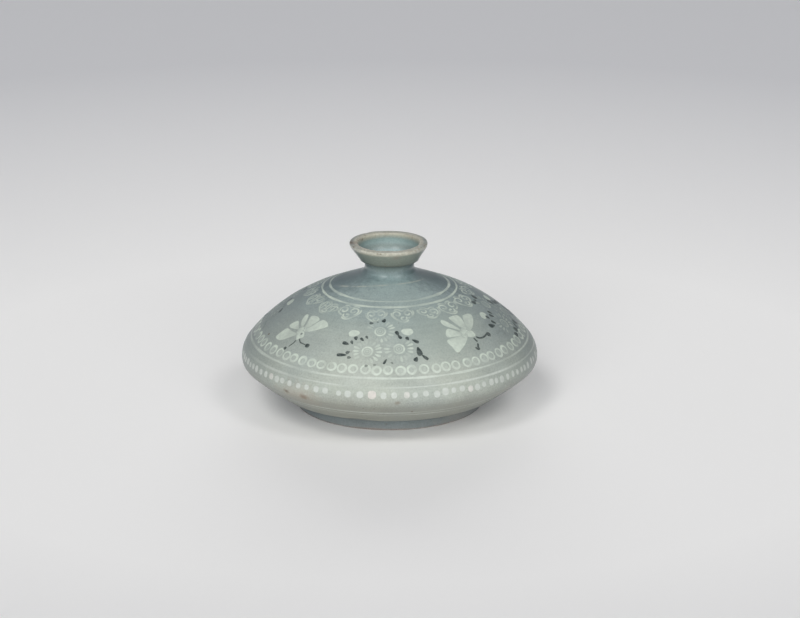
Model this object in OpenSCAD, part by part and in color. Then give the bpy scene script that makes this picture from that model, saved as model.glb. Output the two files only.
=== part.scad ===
// Inlaid celadon oil bottle: five thrown clay members luted one on another, with white and
// black slip let into shallow pockets carved in the wall.
// Millimetres, +Z up, origin on the table under the axis, the front of the bottle towards -Y.
// A rise is a distance along the outside wall, up from the girth and down if negative.
// An azimuth turns about the axis from the front towards +X, in degrees.

/* [Body] */
// Widest diameter, at the girth
girth_d = 90; // [86:0.5:98]
// Height of the girth above the table
girth_z = 14.7; // [13.5:0.1:17]
// Radius of the turn of the wall above the girth
upper_turn_r = 7.85; // [6:0.05:10]
// Radius of the turn of the wall below the girth
lower_turn_r = 3; // [2:0.1:4]
// Radius of the long curve of the shoulder
dome_r = 53.2; // [50:0.2:58]
// Slope of the shoulder where its long curve starts
knee_angle = 50.9; // [48:0.1:54]
// Slope of the straight cone under the neck
cone_angle = 22.6; // [20:0.1:25]
// Slope of the lower wall under the girth
lower_angle = 40; // [37:0.1:43]
// Radius of the slight bulge of the lower wall
lower_bulge_r = 141; // [120:1:200]
// Diameter of the edge where the lower wall turns under
under_edge_d = 68; // [62:0.5:72]
// Thickness of the thrown wall
wall = 3; // [2.4:0.1:4]

/* [Foot] */
// Diameter of the foot ring on the table
foot_d = 57; // [50:0.5:60]
// Outward slant of the foot ring from the table to its top, on the radius
foot_slant = 0.5; // [0:0.1:1.5]
// Height of the foot ring
foot_h = 4.2; // [3:0.1:4.5]
// Width of the foot ring
foot_w = 5; // [3:0.1:8]
// Bevel on the two edges the foot stands on
foot_bevel = 0.4; // [0.2:0.1:0.8]
// Thickness of the floor of the bowl
floor_t = 3.2; // [2.5:0.1:4]

/* [Neck] */
// Diameter of the bore through the neck
bore_d = 8; // [6:0.1:9]
// Thickness of the spigots that pass into the shoulder and the cup
spigot_t = 1.7; // [1:0.1:2]
// Gap filled with slip around each spigot
lute_gap = 0.15; // [0.05:0.05:0.3]
// Diameter of the collar where it stands on the shoulder
collar_foot_d = 16.2; // [15.6:0.1:18]
// Diameter of the collar at its waist
collar_waist_d = 14.9; // [14:0.1:15.4]
// Diameter of the collar under the cup
collar_top_d = 17.6; // [16.6:0.1:18]
// Height of the collar between the shoulder and the cup
collar_h = 3.95; // [3:0.05:5]

/* [Cup] */
// Height of the cup from its seat on the collar to its lip
cup_h = 5.25; // [4.5:0.05:7]
// Diameter of the ridge at the bottom of the cup
cup_ridge_d = 18.2; // [18:0.1:19]
// Height of that ridge
cup_ridge_h = 0.4; // [0.3:0.05:0.8]
// Outside diameter of the lip
lip_d = 23.7; // [21:0.1:28]
// Width of the flat lip
lip_w = 2.6; // [2:0.1:3.2]
// Rounding of the two edges of the lip
lip_round = 0.6; // [0.4:0.05:0.9]
// Thickness of the cup's floor
cup_floor_t = 0.9; // [0.7:0.1:1.4]

/* [Inlay] */
// Depth of the carved pockets
inlay_depth = 0.8; // [0.5:0.05:1.2]
// Width of the ring lines
line_w = 0.6; // [0.3:0.05:0.9]
// Width of the drawn strokes of circles, clouds and flower centres
stroke_w = 0.45; // [0.3:0.05:0.6]
// Plain wall left between one band of ornament and the next
band_gap = 0.5; // [0.3:0.05:0.8]

/* [Girth bands] */
// Diameter of the dots along the girth
dot_d = 1.9; // [1.4:0.1:2.2]
// Spacing of the dots along their band
dot_pitch = 2.95; // [2.6:0.05:4]
// Rise of the row of dots
dot_rise = 2.05; // [1.6:0.05:2.4]
// Rise of the lower girth line
girth_line_rise = 4.35; // [4:0.05:4.8]
// Distance from the lower girth line to the upper one
girth_line_step = 2.8; // [1.6:0.1:3.4]
// Diameter of the circles in the chain
circle_d = 3.2; // [2.6:0.1:3.6]
// Plain wall between two circles of the chain
circle_gap = 0.25; // [0.2:0.05:1]

/* [Foot lines] */
// Distance from the girth down to the upper foot line
foot_line_drop = 6.6; // [5:0.1:7]
// Distance from the upper foot line to the lower one
foot_line_step = 1.8; // [1.2:0.1:2.4]

/* [Shoulder bands] */
// Plain wall between the flowers and the clouds above them
cloud_lift = 2.45; // [0.5:0.05:4]
// Distance from the outer shoulder line to the inner one
shoulder_line_step = 2.55; // [1.4:0.05:2.8]
// Diameter of the two scrolls of a cloud
scroll_d = 3.2; // [2.4:0.1:3.4]
// Depth of the tail that hangs under the scrolls of a cloud
cloud_tail = 0.9; // [0.6:0.1:1.2]
// Plain wall between two clouds
cloud_gap = 2.3; // [1:0.1:4]

/* [Flower sprays] */
// Azimuth of the spray on the front
spray_turn = -3; // [-10:1:10]
// Diameter of the ring at the heart of a flower
heart_d = 3.2; // [2.4:0.1:3.6]
// Distance from that ring to the petals
petal_gap = 0.8; // [0.5:0.05:1]
// Length of a petal
petal_l = 1.45; // [1:0.05:1.6]
// Width of a petal
petal_w = 0.5; // [0.3:0.05:0.7]
// Petals on a flower
petals = 18; // [8:1:20]
// Plain wall between two flowers of a spray
flower_gap = 0.3; // [0.2:0.05:0.6]
// Diameter of a bud
bud_d = 3; // [2:0.1:3.4]
// Distance that the buds stand out beyond the flower centres
bud_reach = 2.6; // [2:0.1:3.2]
// Length of a leaf
leaf_l = 2; // [1.2:0.1:2.2]
// Width of a leaf
leaf_w = 0.9; // [0.5:0.05:1.1]
// Plain wall between the flowers and the leaves beside them
leaf_gap = 0.9; // [0.6:0.1:1.6]

/* [Butterflies] */
// Azimuth of the first butterfly past the front spray
butterfly_turn = 44; // [40:1:48]
// Way that a butterfly faces, turned up from the girth direction
facing = -60; // [-75:1:-50]
// Diameter of a butterfly's body
body_d = 2.6; // [2:0.1:3]
// Length of a fore wing from the middle of the body
fore_wing_l = 8.4; // [6.5:0.1:9]
// Width of a fore wing near its tip
fore_wing_w = 3; // [2:0.1:3.4]
// Length of a hind wing from the middle of the body
hind_wing_l = 6.9; // [5.5:0.1:7.4]
// Width of a hind wing near its tip
hind_wing_w = 2.6; // [1.8:0.1:2.8]
// Length of the tail from the middle of the body
tail_l = 6.9; // [5:0.1:7.4]
// Width of the tail near its tip
tail_w = 1.2; // [0.8:0.05:1.4]
// Length of a feeler
feeler_l = 4.2; // [3:0.1:5]
// Diameter of the knob on a feeler
feeler_knob_d = 1.1; // [0.7:0.1:1.4]

/* [Hidden] */
$fn = 96;
body_fn = 360;
turn_steps = 6;
dome_steps = 9;
low_steps = 3;
curve_steps = 8;
lip_steps = 5;
motifs = 4;
flowers_in_spray = 3;

// How far a cutter stands out of the wall
cut_over = 2;
// Width of a wing where it leaves the body
wing_root_w = 0.5;
// Distance from the middle of the body to that root
wing_root = 0.4;
// Turn of the fore wings, the hind wings, the tail and the feelers from the way the butterfly faces
fore_wing_turn = 98;
hind_wing_turn = 142;
tail_turn = 180;
feeler_turn = 34;
// Turn of the first flower of a spray, and of the leaves at its two sides
flower_turn = 98;
side_leaf_turns = [184, 198, 212, -32, -18, -4];
// Opening in a scroll of a cloud, as a share of the scroll, and the way it faces
scroll_mouth = 0.3;
scroll_turn = -60;

clay = [0.58, 0.63, 0.60];
foot_clay = [0.42, 0.45, 0.45];
lip_clay = [0.66, 0.63, 0.55];
white_slip = [0.80, 0.83, 0.78];
black_slip = [0.20, 0.23, 0.24];

function arc_l(r, turn) = r*turn*PI/180;
function turn_of(l, r) = l/r*180/PI;

// The outside wall is a chain of arcs that starts at the girth and ends in a straight cone.
girth_r = girth_d/2;
knee_rise = arc_l(upper_turn_r, 90 - knee_angle);
dome_rise = knee_rise + arc_l(dome_r, knee_angle - cone_angle);
low_knee_rise = -arc_l(lower_turn_r, 90 - lower_angle);
knee = [girth_r - upper_turn_r*(1 - sin(knee_angle)), girth_z + upper_turn_r*cos(knee_angle)];
dome_end = knee + dome_r*[sin(cone_angle) - sin(knee_angle), cos(cone_angle) - cos(knee_angle)];
low_knee = [girth_r - lower_turn_r*(1 - sin(lower_angle)), girth_z - lower_turn_r*cos(lower_angle)];

// Turn of the outward normal from +Z at a rise
function normal_turn(rise) =
    rise > dome_rise ? cone_angle :
    rise > knee_rise ? knee_angle - turn_of(rise - knee_rise, dome_r) :
    rise >= 0 ? 90 - turn_of(rise, upper_turn_r) :
    rise > low_knee_rise ? 90 - turn_of(rise, lower_turn_r) :
    180 - lower_angle + turn_of(low_knee_rise - rise, lower_bulge_r);

function normal(rise) = [sin(normal_turn(rise)), cos(normal_turn(rise))];

// Radius and height of the outside wall at a rise
function wall_at(rise) =
    rise > dome_rise ? dome_end + (rise - dome_rise)*[-cos(cone_angle), sin(cone_angle)] :
    rise > knee_rise ? knee + dome_r*(normal(rise) - normal(knee_rise)) :
    rise >= 0 ? [girth_r - upper_turn_r, girth_z] + upper_turn_r*normal(rise) :
    rise > low_knee_rise ? [girth_r - lower_turn_r, girth_z] + lower_turn_r*normal(rise) :
    low_knee + lower_bulge_r*(normal(rise) - [sin(lower_angle), -cos(lower_angle)]);

// Rise at which the lower wall has shrunk to its under edge
under_edge_angle = asin(sin(lower_angle) - (low_knee.x - under_edge_d/2)/lower_bulge_r);
under_edge_rise = low_knee_rise - arc_l(lower_bulge_r, lower_angle - under_edge_angle);

// Rises and heights where the members meet
bore_r = bore_d/2;
spigot_r = bore_r + spigot_t;
spigot_hole_r = spigot_r + lute_gap;
collar_foot_r = collar_foot_d/2;
seat_rise = dome_rise + (dome_end.x - collar_foot_r)/cos(cone_angle);
seat_z = wall_at(seat_rise).y;
spigot_z = seat_z + (collar_foot_r - spigot_hole_r)*tan(cone_angle) - wall/cos(cone_angle);
cup_z = seat_z + collar_h;
cup_floor_z = cup_z + cup_floor_t;
lip_z = cup_z + cup_h;
floor_z = foot_h + floor_t;
foot_r = foot_d/2;
foot_top_r = foot_r + foot_slant;

turn_rises = [for (i = [0:turn_steps]) knee_rise*i/turn_steps];
dome_rises = [for (i = [1:dome_steps]) knee_rise + (dome_rise - knee_rise)*i/dome_steps];
upper_rises = concat(turn_rises, dome_rises);
bulge_rises = [for (i = [0:low_steps]) under_edge_rise + (low_knee_rise - under_edge_rise)*i/low_steps];
low_turn_rises = [for (i = [1:turn_steps - 1]) low_knee_rise*(1 - i/turn_steps)];

upper_wall = concat([for (s = upper_rises) wall_at(s)], [wall_at(seat_rise)]);
lower_wall = [for (s = concat(bulge_rises, low_turn_rises)) wall_at(s)];
inside_rises = [for (i = [len(upper_rises) - 1:-1:0]) upper_rises[i]];
upper_inside = [for (s = inside_rises) wall_at(s) - wall*normal(s)];

// Rises of the bands, stacked up from the girth, with plain cone from the last one to the collar
girth_line_upper_rise = girth_line_rise + girth_line_step;
circle_rise = girth_line_upper_rise + line_w/2 + band_gap + circle_d/2;
circle_top = circle_rise + circle_d/2;

flower_step = 360/flowers_in_spray;
flower_d = heart_d + 2*(petal_gap + petal_l);
flower_orbit = (flower_d + flower_gap)/sqrt(3);
low_flower_turn = flower_turn + flower_step;
spray_rise = circle_top + band_gap/2 + flower_d/2 - flower_orbit*sin(low_flower_turn);
spray_top = spray_rise + flower_orbit*sin(flower_turn) + flower_d/2;
bud_orbit = flower_orbit + bud_d/2 + bud_reach;
stem_orbit = bud_orbit - (bud_d + leaf_w)/2 - leaf_gap/2;
side_leaf_orbit = flower_orbit + flower_d/2 + leaf_gap + leaf_l/2;

cloud_rise = spray_top + cloud_lift + cloud_tail + scroll_d/2;
outer_line_rise = cloud_rise + scroll_d/2 + band_gap + line_w/2;
inner_line_rise = outer_line_rise + shoulder_line_step;

feeler_start = body_d/2 + band_gap;
feeler_reach = feeler_start + feeler_l;
feeler_drop = feeler_reach*sin(feeler_turn - facing) + feeler_knob_d/2;
butterfly_rise = circle_top + band_gap + feeler_drop;

function around(rise, pitch) = floor(2*PI*wall_at(rise).x/pitch);
circles = around(circle_rise, circle_d + circle_gap);
dots = around(dot_rise, dot_pitch);
cloud_w = 2*scroll_d - stroke_w;
clouds = around(cloud_rise - scroll_d/2, cloud_w + cloud_gap);

MEMBERS = ["foot_ring", "lower_bowl", "shoulder", "neck_collar", "mouth_cup"];
LINES = ["shoulder_line_inner", "shoulder_line_outer", "girth_line_upper", "girth_line_lower",
    "foot_line_upper", "foot_line_lower"];
BANDS = ["cloud_collar", "circle_chain", "girth_dots"];
MOTIFS = [for (part = ["butterfly", "feelers", "flowers", "buds", "leaves"])
    for (i = [1:motifs]) str(part, "_", i)];

// Placing on the wall

module revolve() {
    rotate_extrude($fn = body_fn)
        children();
}

// Local X runs round the wall, local Y up it and local Z out of it
module on_wall(azimuth, rise) {
    rotate([0, 0, azimuth - 90])
        translate([wall_at(rise).x, 0, wall_at(rise).y])
            rotate([0, normal_turn(rise), 0])
                rotate([0, 0, 90])
                    children();
}

// A spot that lies a reach away from a motif's middle, in the direction of a turn
module beside(azimuth, rise, reach, turn) {
    spot_rise = rise + reach*sin(turn);
    spot_azimuth = azimuth + turn_of(reach*cos(turn), wall_at(spot_rise).x);
    on_wall(spot_azimuth, spot_rise)
        children();
}

// A drawn shape made into a cutter that reaches the pocket's depth
module carve() {
    translate([0, 0, -inlay_depth])
        linear_extrude(inlay_depth + cut_over)
            children();
}

module outside() {
    revolve()
        polygon(concat([[0, foot_h], [foot_top_r, foot_h]], lower_wall, upper_wall, [[0, seat_z]]));
}

// Slip that fills a pocket flush with the wall
module fill() {
    intersection() {
        children();
        outside();
    }
}

// Drawn shapes

module hoop(d) {
    difference() {
        circle(d = d);
        circle(d = d - 2*stroke_w);
    }
}

module flower() {
    hoop(heart_d);
    for (i = [0:petals - 1])
        rotate(i*360/petals)
            translate([heart_d/2 + petal_gap, -petal_w/2])
                square([petal_l, petal_w]);
}

module leaf() {
    bow_r = (leaf_l*leaf_l + leaf_w*leaf_w)/(4*leaf_w);
    intersection() {
        translate([0, bow_r - leaf_w/2])
            circle(bow_r);
        translate([0, leaf_w/2 - bow_r])
            circle(bow_r);
    }
}

module wing(l, w) {
    tip_x = l - w/2;
    translate([tip_x, 0])
        circle(d = w);
    polygon([[wing_root, -wing_root_w/2], [tip_x, -w/2], [tip_x, w/2], [wing_root, wing_root_w/2]]);
}

module feeler() {
    translate([0, -stroke_w/2])
        square([feeler_l, stroke_w]);
    translate([feeler_l, 0])
        circle(d = feeler_knob_d);
}

module scroll() {
    difference() {
        hoop(scroll_d);
        translate([0, -scroll_d*scroll_mouth/2])
            square([scroll_d, scroll_d*scroll_mouth]);
    }
}

module cloud() {
    middle = (scroll_d - stroke_w)/2;
    for (side = [0, 1])
        mirror([side, 0])
            translate([middle, 0])
                rotate(scroll_turn)
                    scroll();
    translate([-stroke_w/2, -scroll_d/2 - cloud_tail])
        square([stroke_w, scroll_d/2 + cloud_tail]);
}

// Cutters, each used for the pocket and for the slip in it

module line_cut(rise) {
    revolve()
        translate(wall_at(rise))
            rotate(90 - normal_turn(rise))
                translate([-inlay_depth, -line_w/2])
                    square([inlay_depth + cut_over, line_w]);
}

module dots_cut() {
    for (i = [0:dots - 1])
        on_wall(i*360/dots, dot_rise)
            carve()
                circle(d = dot_d);
}

module circles_cut() {
    for (i = [0:circles - 1])
        on_wall(i*360/circles, circle_rise)
            carve()
                hoop(circle_d);
}

module clouds_cut() {
    for (i = [0:clouds - 1])
        on_wall((i + 1/2)*360/clouds, cloud_rise)
            carve()
                cloud();
}

module flowers_cut(azimuth) {
    for (i = [0:flowers_in_spray - 1])
        beside(azimuth, spray_rise, flower_orbit, flower_turn + flower_step*i)
            carve()
                flower();
}

module buds_cut(azimuth) {
    for (i = [0:1])
        beside(azimuth, spray_rise, bud_orbit, flower_turn + flower_step*(1/2 - i))
            carve()
                circle(d = bud_d);
}

module leaves_cut(azimuth) {
    for (i = [0:flowers_in_spray - 1])
        beside(azimuth, spray_rise, stem_orbit, flower_turn + flower_step*(1/2 + i))
            carve()
                leaf();
    for (turn = side_leaf_turns)
        beside(azimuth, spray_rise, side_leaf_orbit, turn)
            rotate(turn)
                carve()
                    leaf();
}

module wing_cut(azimuth, turn, l, w) {
    beside(azimuth, butterfly_rise, l/2, turn)
        rotate(turn)
            carve()
                translate([-l/2, 0])
                    wing(l, w);
}

module butterfly_cut(azimuth) {
    for (side = [-1, 1]) {
        wing_cut(azimuth, facing + side*fore_wing_turn, fore_wing_l, fore_wing_w);
        wing_cut(azimuth, facing + side*hind_wing_turn, hind_wing_l, hind_wing_w);
    }
    wing_cut(azimuth, facing + tail_turn, tail_l, tail_w);
    on_wall(azimuth, butterfly_rise)
        carve()
            circle(d = body_d);
}

module feelers_cut(azimuth) {
    for (side = [-1, 1])
        beside(azimuth, butterfly_rise, feeler_start + feeler_l/2, facing + side*feeler_turn)
            rotate(facing + side*feeler_turn)
                carve()
                    translate([-feeler_l/2, 0])
                        feeler();
}

function spray_azimuth(i) = spray_turn + i*360/motifs;
function butterfly_azimuth(i) = butterfly_turn + i*360/motifs;

// Clay members

module foot_ring() {
    inner = foot_r - foot_w;
    color(foot_clay)
        revolve()
            polygon([[inner + foot_bevel, 0], [foot_r - foot_bevel, 0], [foot_r, foot_bevel],
                [foot_top_r, foot_h], [inner, foot_h], [inner, foot_bevel]]);
}

module lower_bowl() {
    rim_in = girth_r - wall;
    floor_r = rim_in - (girth_z - floor_z)/tan(lower_angle);
    color(clay)
        difference() {
            revolve()
                polygon(concat([[0, foot_h], [foot_top_r, foot_h]], lower_wall,
                    [[girth_r, girth_z], [rim_in, girth_z], [floor_r, floor_z], [0, floor_z]]));
            line_cut(-foot_line_drop);
            line_cut(-foot_line_drop - foot_line_step);
        }
}

module shoulder() {
    color(clay)
        difference() {
            revolve()
                polygon(concat(upper_wall, [[spigot_hole_r, seat_z], [spigot_hole_r, spigot_z]],
                    upper_inside));
            line_cut(inner_line_rise);
            line_cut(outer_line_rise);
            line_cut(girth_line_upper_rise);
            line_cut(girth_line_rise);
            clouds_cut();
            circles_cut();
            dots_cut();
            for (i = [0:motifs - 1]) {
                butterfly_cut(butterfly_azimuth(i));
                feelers_cut(butterfly_azimuth(i));
                flowers_cut(spray_azimuth(i));
                buds_cut(spray_azimuth(i));
                leaves_cut(spray_azimuth(i));
            }
        }
}

module neck_collar() {
    waist_r = collar_waist_d/2;
    ends = [collar_foot_r, collar_top_d/2];
    waist = [for (i = [0:2*curve_steps])
        let (t = i/curve_steps - 1, end = t < 0 ? ends[0] : ends[1])
        [waist_r + (end - waist_r)*t*t, seat_z + collar_h*(1 + t)/2]];
    color(clay)
        revolve()
            polygon(concat([[bore_r, spigot_z], [spigot_r, spigot_z], [spigot_r, seat_z]], waist,
                [[spigot_r, cup_z], [spigot_r, cup_floor_z], [bore_r, cup_floor_z]]));
}

module mouth_cup() {
    lip_r = lip_d/2;
    ridge_r = cup_ridge_d/2;
    inner_r = lip_r - lip_w;
    round_z = lip_z - lip_round;
    lip_out = [for (i = [0:lip_steps])
        [lip_r - lip_round*(1 - cos(90*i/lip_steps)), round_z + lip_round*sin(90*i/lip_steps)]];
    lip_in = [for (i = [0:lip_steps])
        [inner_r + lip_round*(1 - sin(90*i/lip_steps)), round_z + lip_round*cos(90*i/lip_steps)]];
    bowl = [for (i = [1:curve_steps])
        let (a = 90*i/curve_steps)
        [spigot_hole_r + (inner_r - spigot_hole_r)*cos(a), round_z - (round_z - cup_floor_z)*sin(a)]];
    color(lip_clay)
        revolve()
            polygon(concat([[spigot_hole_r, cup_z], [ridge_r, cup_z], [ridge_r, cup_z + cup_ridge_h]],
                lip_out, lip_in, bowl));
}

// Slip let into the pockets

module line(rise) {
    color(white_slip)
        fill()
            line_cut(rise);
}

module cloud_collar() {
    color(white_slip)
        fill()
            clouds_cut();
}

module circle_chain() {
    color(white_slip)
        fill()
            circles_cut();
}

module girth_dots() {
    color(white_slip)
        fill()
            dots_cut();
}

module butterfly(i) {
    color(white_slip)
        fill()
            butterfly_cut(butterfly_azimuth(i));
}

module feelers(i) {
    color(black_slip)
        fill()
            feelers_cut(butterfly_azimuth(i));
}

module flowers(i) {
    color(white_slip)
        fill()
            flowers_cut(spray_azimuth(i));
}

module buds(i) {
    color(white_slip)
        fill()
            buds_cut(spray_azimuth(i));
}

module leaves(i) {
    color(black_slip)
        fill()
            leaves_cut(spray_azimuth(i));
}

foot_ring();
lower_bowl();
shoulder();
neck_collar();
mouth_cup();
line(inner_line_rise);  // shoulder_line_inner
line(outer_line_rise);  // shoulder_line_outer
line(girth_line_upper_rise);  // girth_line_upper
line(girth_line_rise);  // girth_line_lower
line(-foot_line_drop);  // foot_line_upper
line(-foot_line_drop - foot_line_step);  // foot_line_lower
cloud_collar();
circle_chain();
girth_dots();
for (i = [0:motifs - 1]) {
    butterfly(i);
    feelers(i);
    flowers(i);
    buds(i);
    leaves(i);
}
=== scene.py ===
# %% [markdown]
# # An inlaid celadon oil bottle
# Such a bottle is thrown on a wheel, here as five clay members. Its wall is carved, the carving
# is filled with white and black slip, and a grey-green glaze is fired over everything.
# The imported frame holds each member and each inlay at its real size. This lesson gives them
# their hand-made shapes and their glaze, and starts by loading that frame.

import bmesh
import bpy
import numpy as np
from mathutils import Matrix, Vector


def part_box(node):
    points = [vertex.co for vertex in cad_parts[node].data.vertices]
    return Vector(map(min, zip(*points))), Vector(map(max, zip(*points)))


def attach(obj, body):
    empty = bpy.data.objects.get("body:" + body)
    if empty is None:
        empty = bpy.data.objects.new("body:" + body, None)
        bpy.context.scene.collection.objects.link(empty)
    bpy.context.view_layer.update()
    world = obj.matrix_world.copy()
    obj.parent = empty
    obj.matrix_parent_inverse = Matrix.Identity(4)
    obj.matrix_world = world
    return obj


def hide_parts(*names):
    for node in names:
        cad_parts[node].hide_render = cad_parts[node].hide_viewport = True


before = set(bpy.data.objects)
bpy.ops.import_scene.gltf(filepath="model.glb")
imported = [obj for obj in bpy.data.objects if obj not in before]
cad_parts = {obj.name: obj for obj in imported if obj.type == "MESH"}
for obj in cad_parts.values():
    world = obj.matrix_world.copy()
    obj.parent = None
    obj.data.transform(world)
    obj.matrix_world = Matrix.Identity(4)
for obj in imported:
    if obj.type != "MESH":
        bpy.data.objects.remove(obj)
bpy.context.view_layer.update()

# %% [markdown]
# ## Sizes
# The main sizes are read from the boxes of the frame's nodes, so the pieces made here fit without
# any moving or scaling. Radii and slopes that no box shows are named where they are first needed.
# The lesson counts in millimetres, because a potter does, and turns them into Blender's metres
# only when a mesh is filled.

MM = 0.001


def span(node_name):
    """Lowest and highest corner of a node of the frame, in millimetres."""
    low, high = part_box(node_name)
    return np.array(low) / MM, np.array(high) / MM


_, foot_high = span("foot_ring")
shoulder_low, shoulder_high = span("shoulder")
collar_low, collar_high = span("neck_collar")
cup_low, cup_high = span("mouth_cup")
girth_r, girth_z = shoulder_high[0], shoulder_low[2]
foot_top_r, foot_h = foot_high[0], foot_high[2]
seat_z, spigot_z = shoulder_high[2], collar_low[2]
cup_z, cup_floor_z = cup_low[2], collar_high[2]
lip_r, lip_z = cup_high[0], cup_high[2]
print(f"girth {2 * girth_r:.1f} mm across at {girth_z:.1f} mm, lip at {lip_z:.1f} mm")

# %% [markdown]
# ## Camera
# The bottle is seen from a little above, through a long lens. Four numbers fix such a view: how
# far the camera looks down, how long the lens is in pixels, and where one known point of the
# bottle lands in the picture. The girth's radius in pixels then gives the distance.

# %% Place the camera
PICTURE_W, PICTURE_H = 800, 618
LENS_PX = 4000
GIRTH_PX = 148
AXIS_PX_X, AXIS_PX_Y = 389.5, 323.7
AXIS_POINT_Z = 24.3
LOOK_DOWN = np.radians(17.9)
SENSOR_MM = 36

pixel_mm = girth_r / GIRTH_PX
forward = np.array([0, np.cos(LOOK_DOWN), -np.sin(LOOK_DOWN)])
rightward = np.array([1.0, 0, 0])
upward = np.cross(rightward, forward)
eye = np.array([0, 0, AXIS_POINT_Z]) - forward * LENS_PX * pixel_mm
eye += rightward * (PICTURE_W / 2 - AXIS_PX_X) * pixel_mm
eye += upward * (AXIS_PX_Y - PICTURE_H / 2) * pixel_mm

scene = bpy.context.scene
lens = bpy.data.cameras.new("lens")
lens.sensor_width = SENSOR_MM
lens.lens = SENSOR_MM * LENS_PX / PICTURE_W
camera = bpy.data.objects.new("camera", lens)
turned = Matrix(np.column_stack([rightward, upward, -forward]).tolist()).to_4x4()
camera.matrix_world = Matrix.Translation((eye * MM).tolist()) @ turned
scene.collection.objects.link(camera)
scene.camera = camera
scene.view_settings.view_transform = "Standard"
print(f"camera {np.linalg.norm(eye):.0f} mm away, lens {lens.lens:.0f} mm")

# %% [markdown]
# ## Shader helpers
# Finishes are built from nodes. Adding nodes by hand takes many lines, so a few small helpers
# add one node each and link it. Colours are written as screen values from 0 to 255, as a colour
# picker shows them, and made linear for the shader.


# %% Node helpers
def paint(red, green, blue):
    """Screen values 0 to 255 as the linear colour that a shader takes."""
    share = np.array([red, green, blue]) / 255
    linear = np.where(share > 0.04045, ((share + 0.055) / 1.055) ** 2.4, share / 12.92)
    return (*linear.tolist(), 1.0)


def feed(tree, inputs, links):
    """Puts a value or another node's output on each named input."""
    for name, source in links.items():
        if isinstance(source, bpy.types.NodeSocket):
            tree.links.new(source, inputs[name])
        else:
            inputs[name].default_value = source


def node(tree, kind, links, **settings):
    """One shader node, with its inputs fed."""
    made = tree.nodes.new("ShaderNode" + kind)
    for name, value in settings.items():
        setattr(made, name, value)
    feed(tree, made.inputs, links)
    return made


def sums(tree, operation, first, second=0):
    """One or two values put through an operation, such as ABSOLUTE or ADD."""
    return node(tree, "Math", {0: first, 1: second}, operation=operation).outputs[0]


def times(tree, first, *others):
    """Values multiplied together."""
    for other in others:
        first = sums(tree, "MULTIPLY", first, other)
    return first


def vectors(tree, operation, first, second=(0, 0, 0)):
    """One or two vectors put through an operation. LENGTH and DISTANCE give a value."""
    made = node(tree, "VectorMath", {0: first, 1: second}, operation=operation)
    return made.outputs["Value" if operation in ("LENGTH", "DISTANCE") else "Vector"]


def axes(tree, place):
    """The outputs X, Y and Z of a place."""
    return node(tree, "SeparateXYZ", {0: place}).outputs


def spread(tree, value, low, high, to_low, to_high):
    """The value's stretch from low to high carried over to another stretch, held at its ends."""
    links = {0: value, 1: low, 2: high, 3: to_low, 4: to_high}
    return node(tree, "MapRange", links).outputs[0]


def blend(tree, share, first, second):
    """Two colours mixed by a share of the second."""
    return node(tree, "Mix", {0: share, 6: first, 7: second}, data_type="RGBA").outputs[2]


def brighten(tree, colour, factor):
    """A colour made lighter or darker by a factor."""
    return node(tree, "HueSaturation", {"Value": factor, "Color": colour}).outputs[0]


print("node helpers ready")

# %% [markdown]
# Patterns are soft noise and random cells, read at a place on the bottle. They take that place from
# Object coordinates, in millimetres, so a pattern keeps its size and lies still on every piece.


# %% Pattern helpers
def noise(tree, place, size, detail=2.0):
    """Soft random values from 0 to 1 whose spots are about size millimetres wide."""
    links = {"Vector": place, "Scale": 1 / size, "Detail": detail}
    return node(tree, "TexNoise", links).outputs["Fac"]


def mottle(tree, pattern, low, high):
    """Noise carried over to a stretch. Nearly all of it lies between 0.3 and 0.7."""
    return spread(tree, pattern, 0.3, 0.7, low, high)


def cells(tree, place, per_mm, **settings):
    """The outputs of a pattern of random cells, such as the distance to the nearest middle."""
    return node(tree, "TexVoronoi", {"Vector": place, "Scale": per_mm}, **settings).outputs


def marked(tree, name):
    """The number of that name that each point of a piece carries."""
    return node(tree, "Attribute", {}, attribute_name=name).outputs["Fac"]


def place_mm(tree):
    """Where the shaded point lies on the bottle, in millimetres."""
    spot = node(tree, "TexCoord", {}).outputs["Object"]
    return vectors(tree, "MULTIPLY", spot, (1 / MM, 1 / MM, 1 / MM))


def new_finish(name):
    """An empty material: its tree, and the shader that its parts are linked to."""
    material = bpy.data.materials.new(name)
    material.use_nodes = True
    return material, material.node_tree, material.node_tree.nodes["Principled BSDF"]


print("pattern helpers ready")

# %% [markdown]
# ## Floor
# The bottle stands on a plain pale floor that reaches the horizon from any view. It is palest
# round the bottle and greyer further off, where it meets a sky of the same grey without a line.

# %% Floor
# metres to each side, and how far the floor lies under the foot, so that the two don't flicker
FLOOR_HALF, FLOOR_DROP = 30.0, 0.00002
FLOOR_ROUGH, FLOOR_SHINE = 0.9, 0.1
# how far from the bottle, in millimetres, and the floor's tone there
FLOOR_TONES = [(150, (250, 249, 247)), (420, (208, 208, 210)), (2200, (162, 163, 165))]

corners = FLOOR_HALF * np.array([[-1, -1], [1, -1], [1, 1], [-1, 1]])
floor_mesh = bpy.data.meshes.new("floor")
floor_mesh.from_pydata([(x, y, -FLOOR_DROP) for x, y in corners], [], [(0, 1, 2, 3)])
floor = bpy.data.objects.new("floor", floor_mesh)
scene.collection.objects.link(floor)
floor_finish, floor_tree, floor_shader = new_finish("pale_floor")
floor_away = vectors(floor_tree, "LENGTH", place_mm(floor_tree))
floor_colour = paint(*FLOOR_TONES[0][1])
for (start, _), (end, tone) in zip(FLOOR_TONES, FLOOR_TONES[1:]):
    floor_share = spread(floor_tree, floor_away, start, end, 0, 1)
    floor_colour = blend(floor_tree, floor_share, floor_colour, paint(*tone))
feed(floor_tree, floor_shader.inputs, {
    "Base Color": floor_colour, "Roughness": FLOOR_ROUGH, "Specular IOR Level": FLOOR_SHINE,
})
floor_mesh.materials.append(floor_finish)
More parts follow.
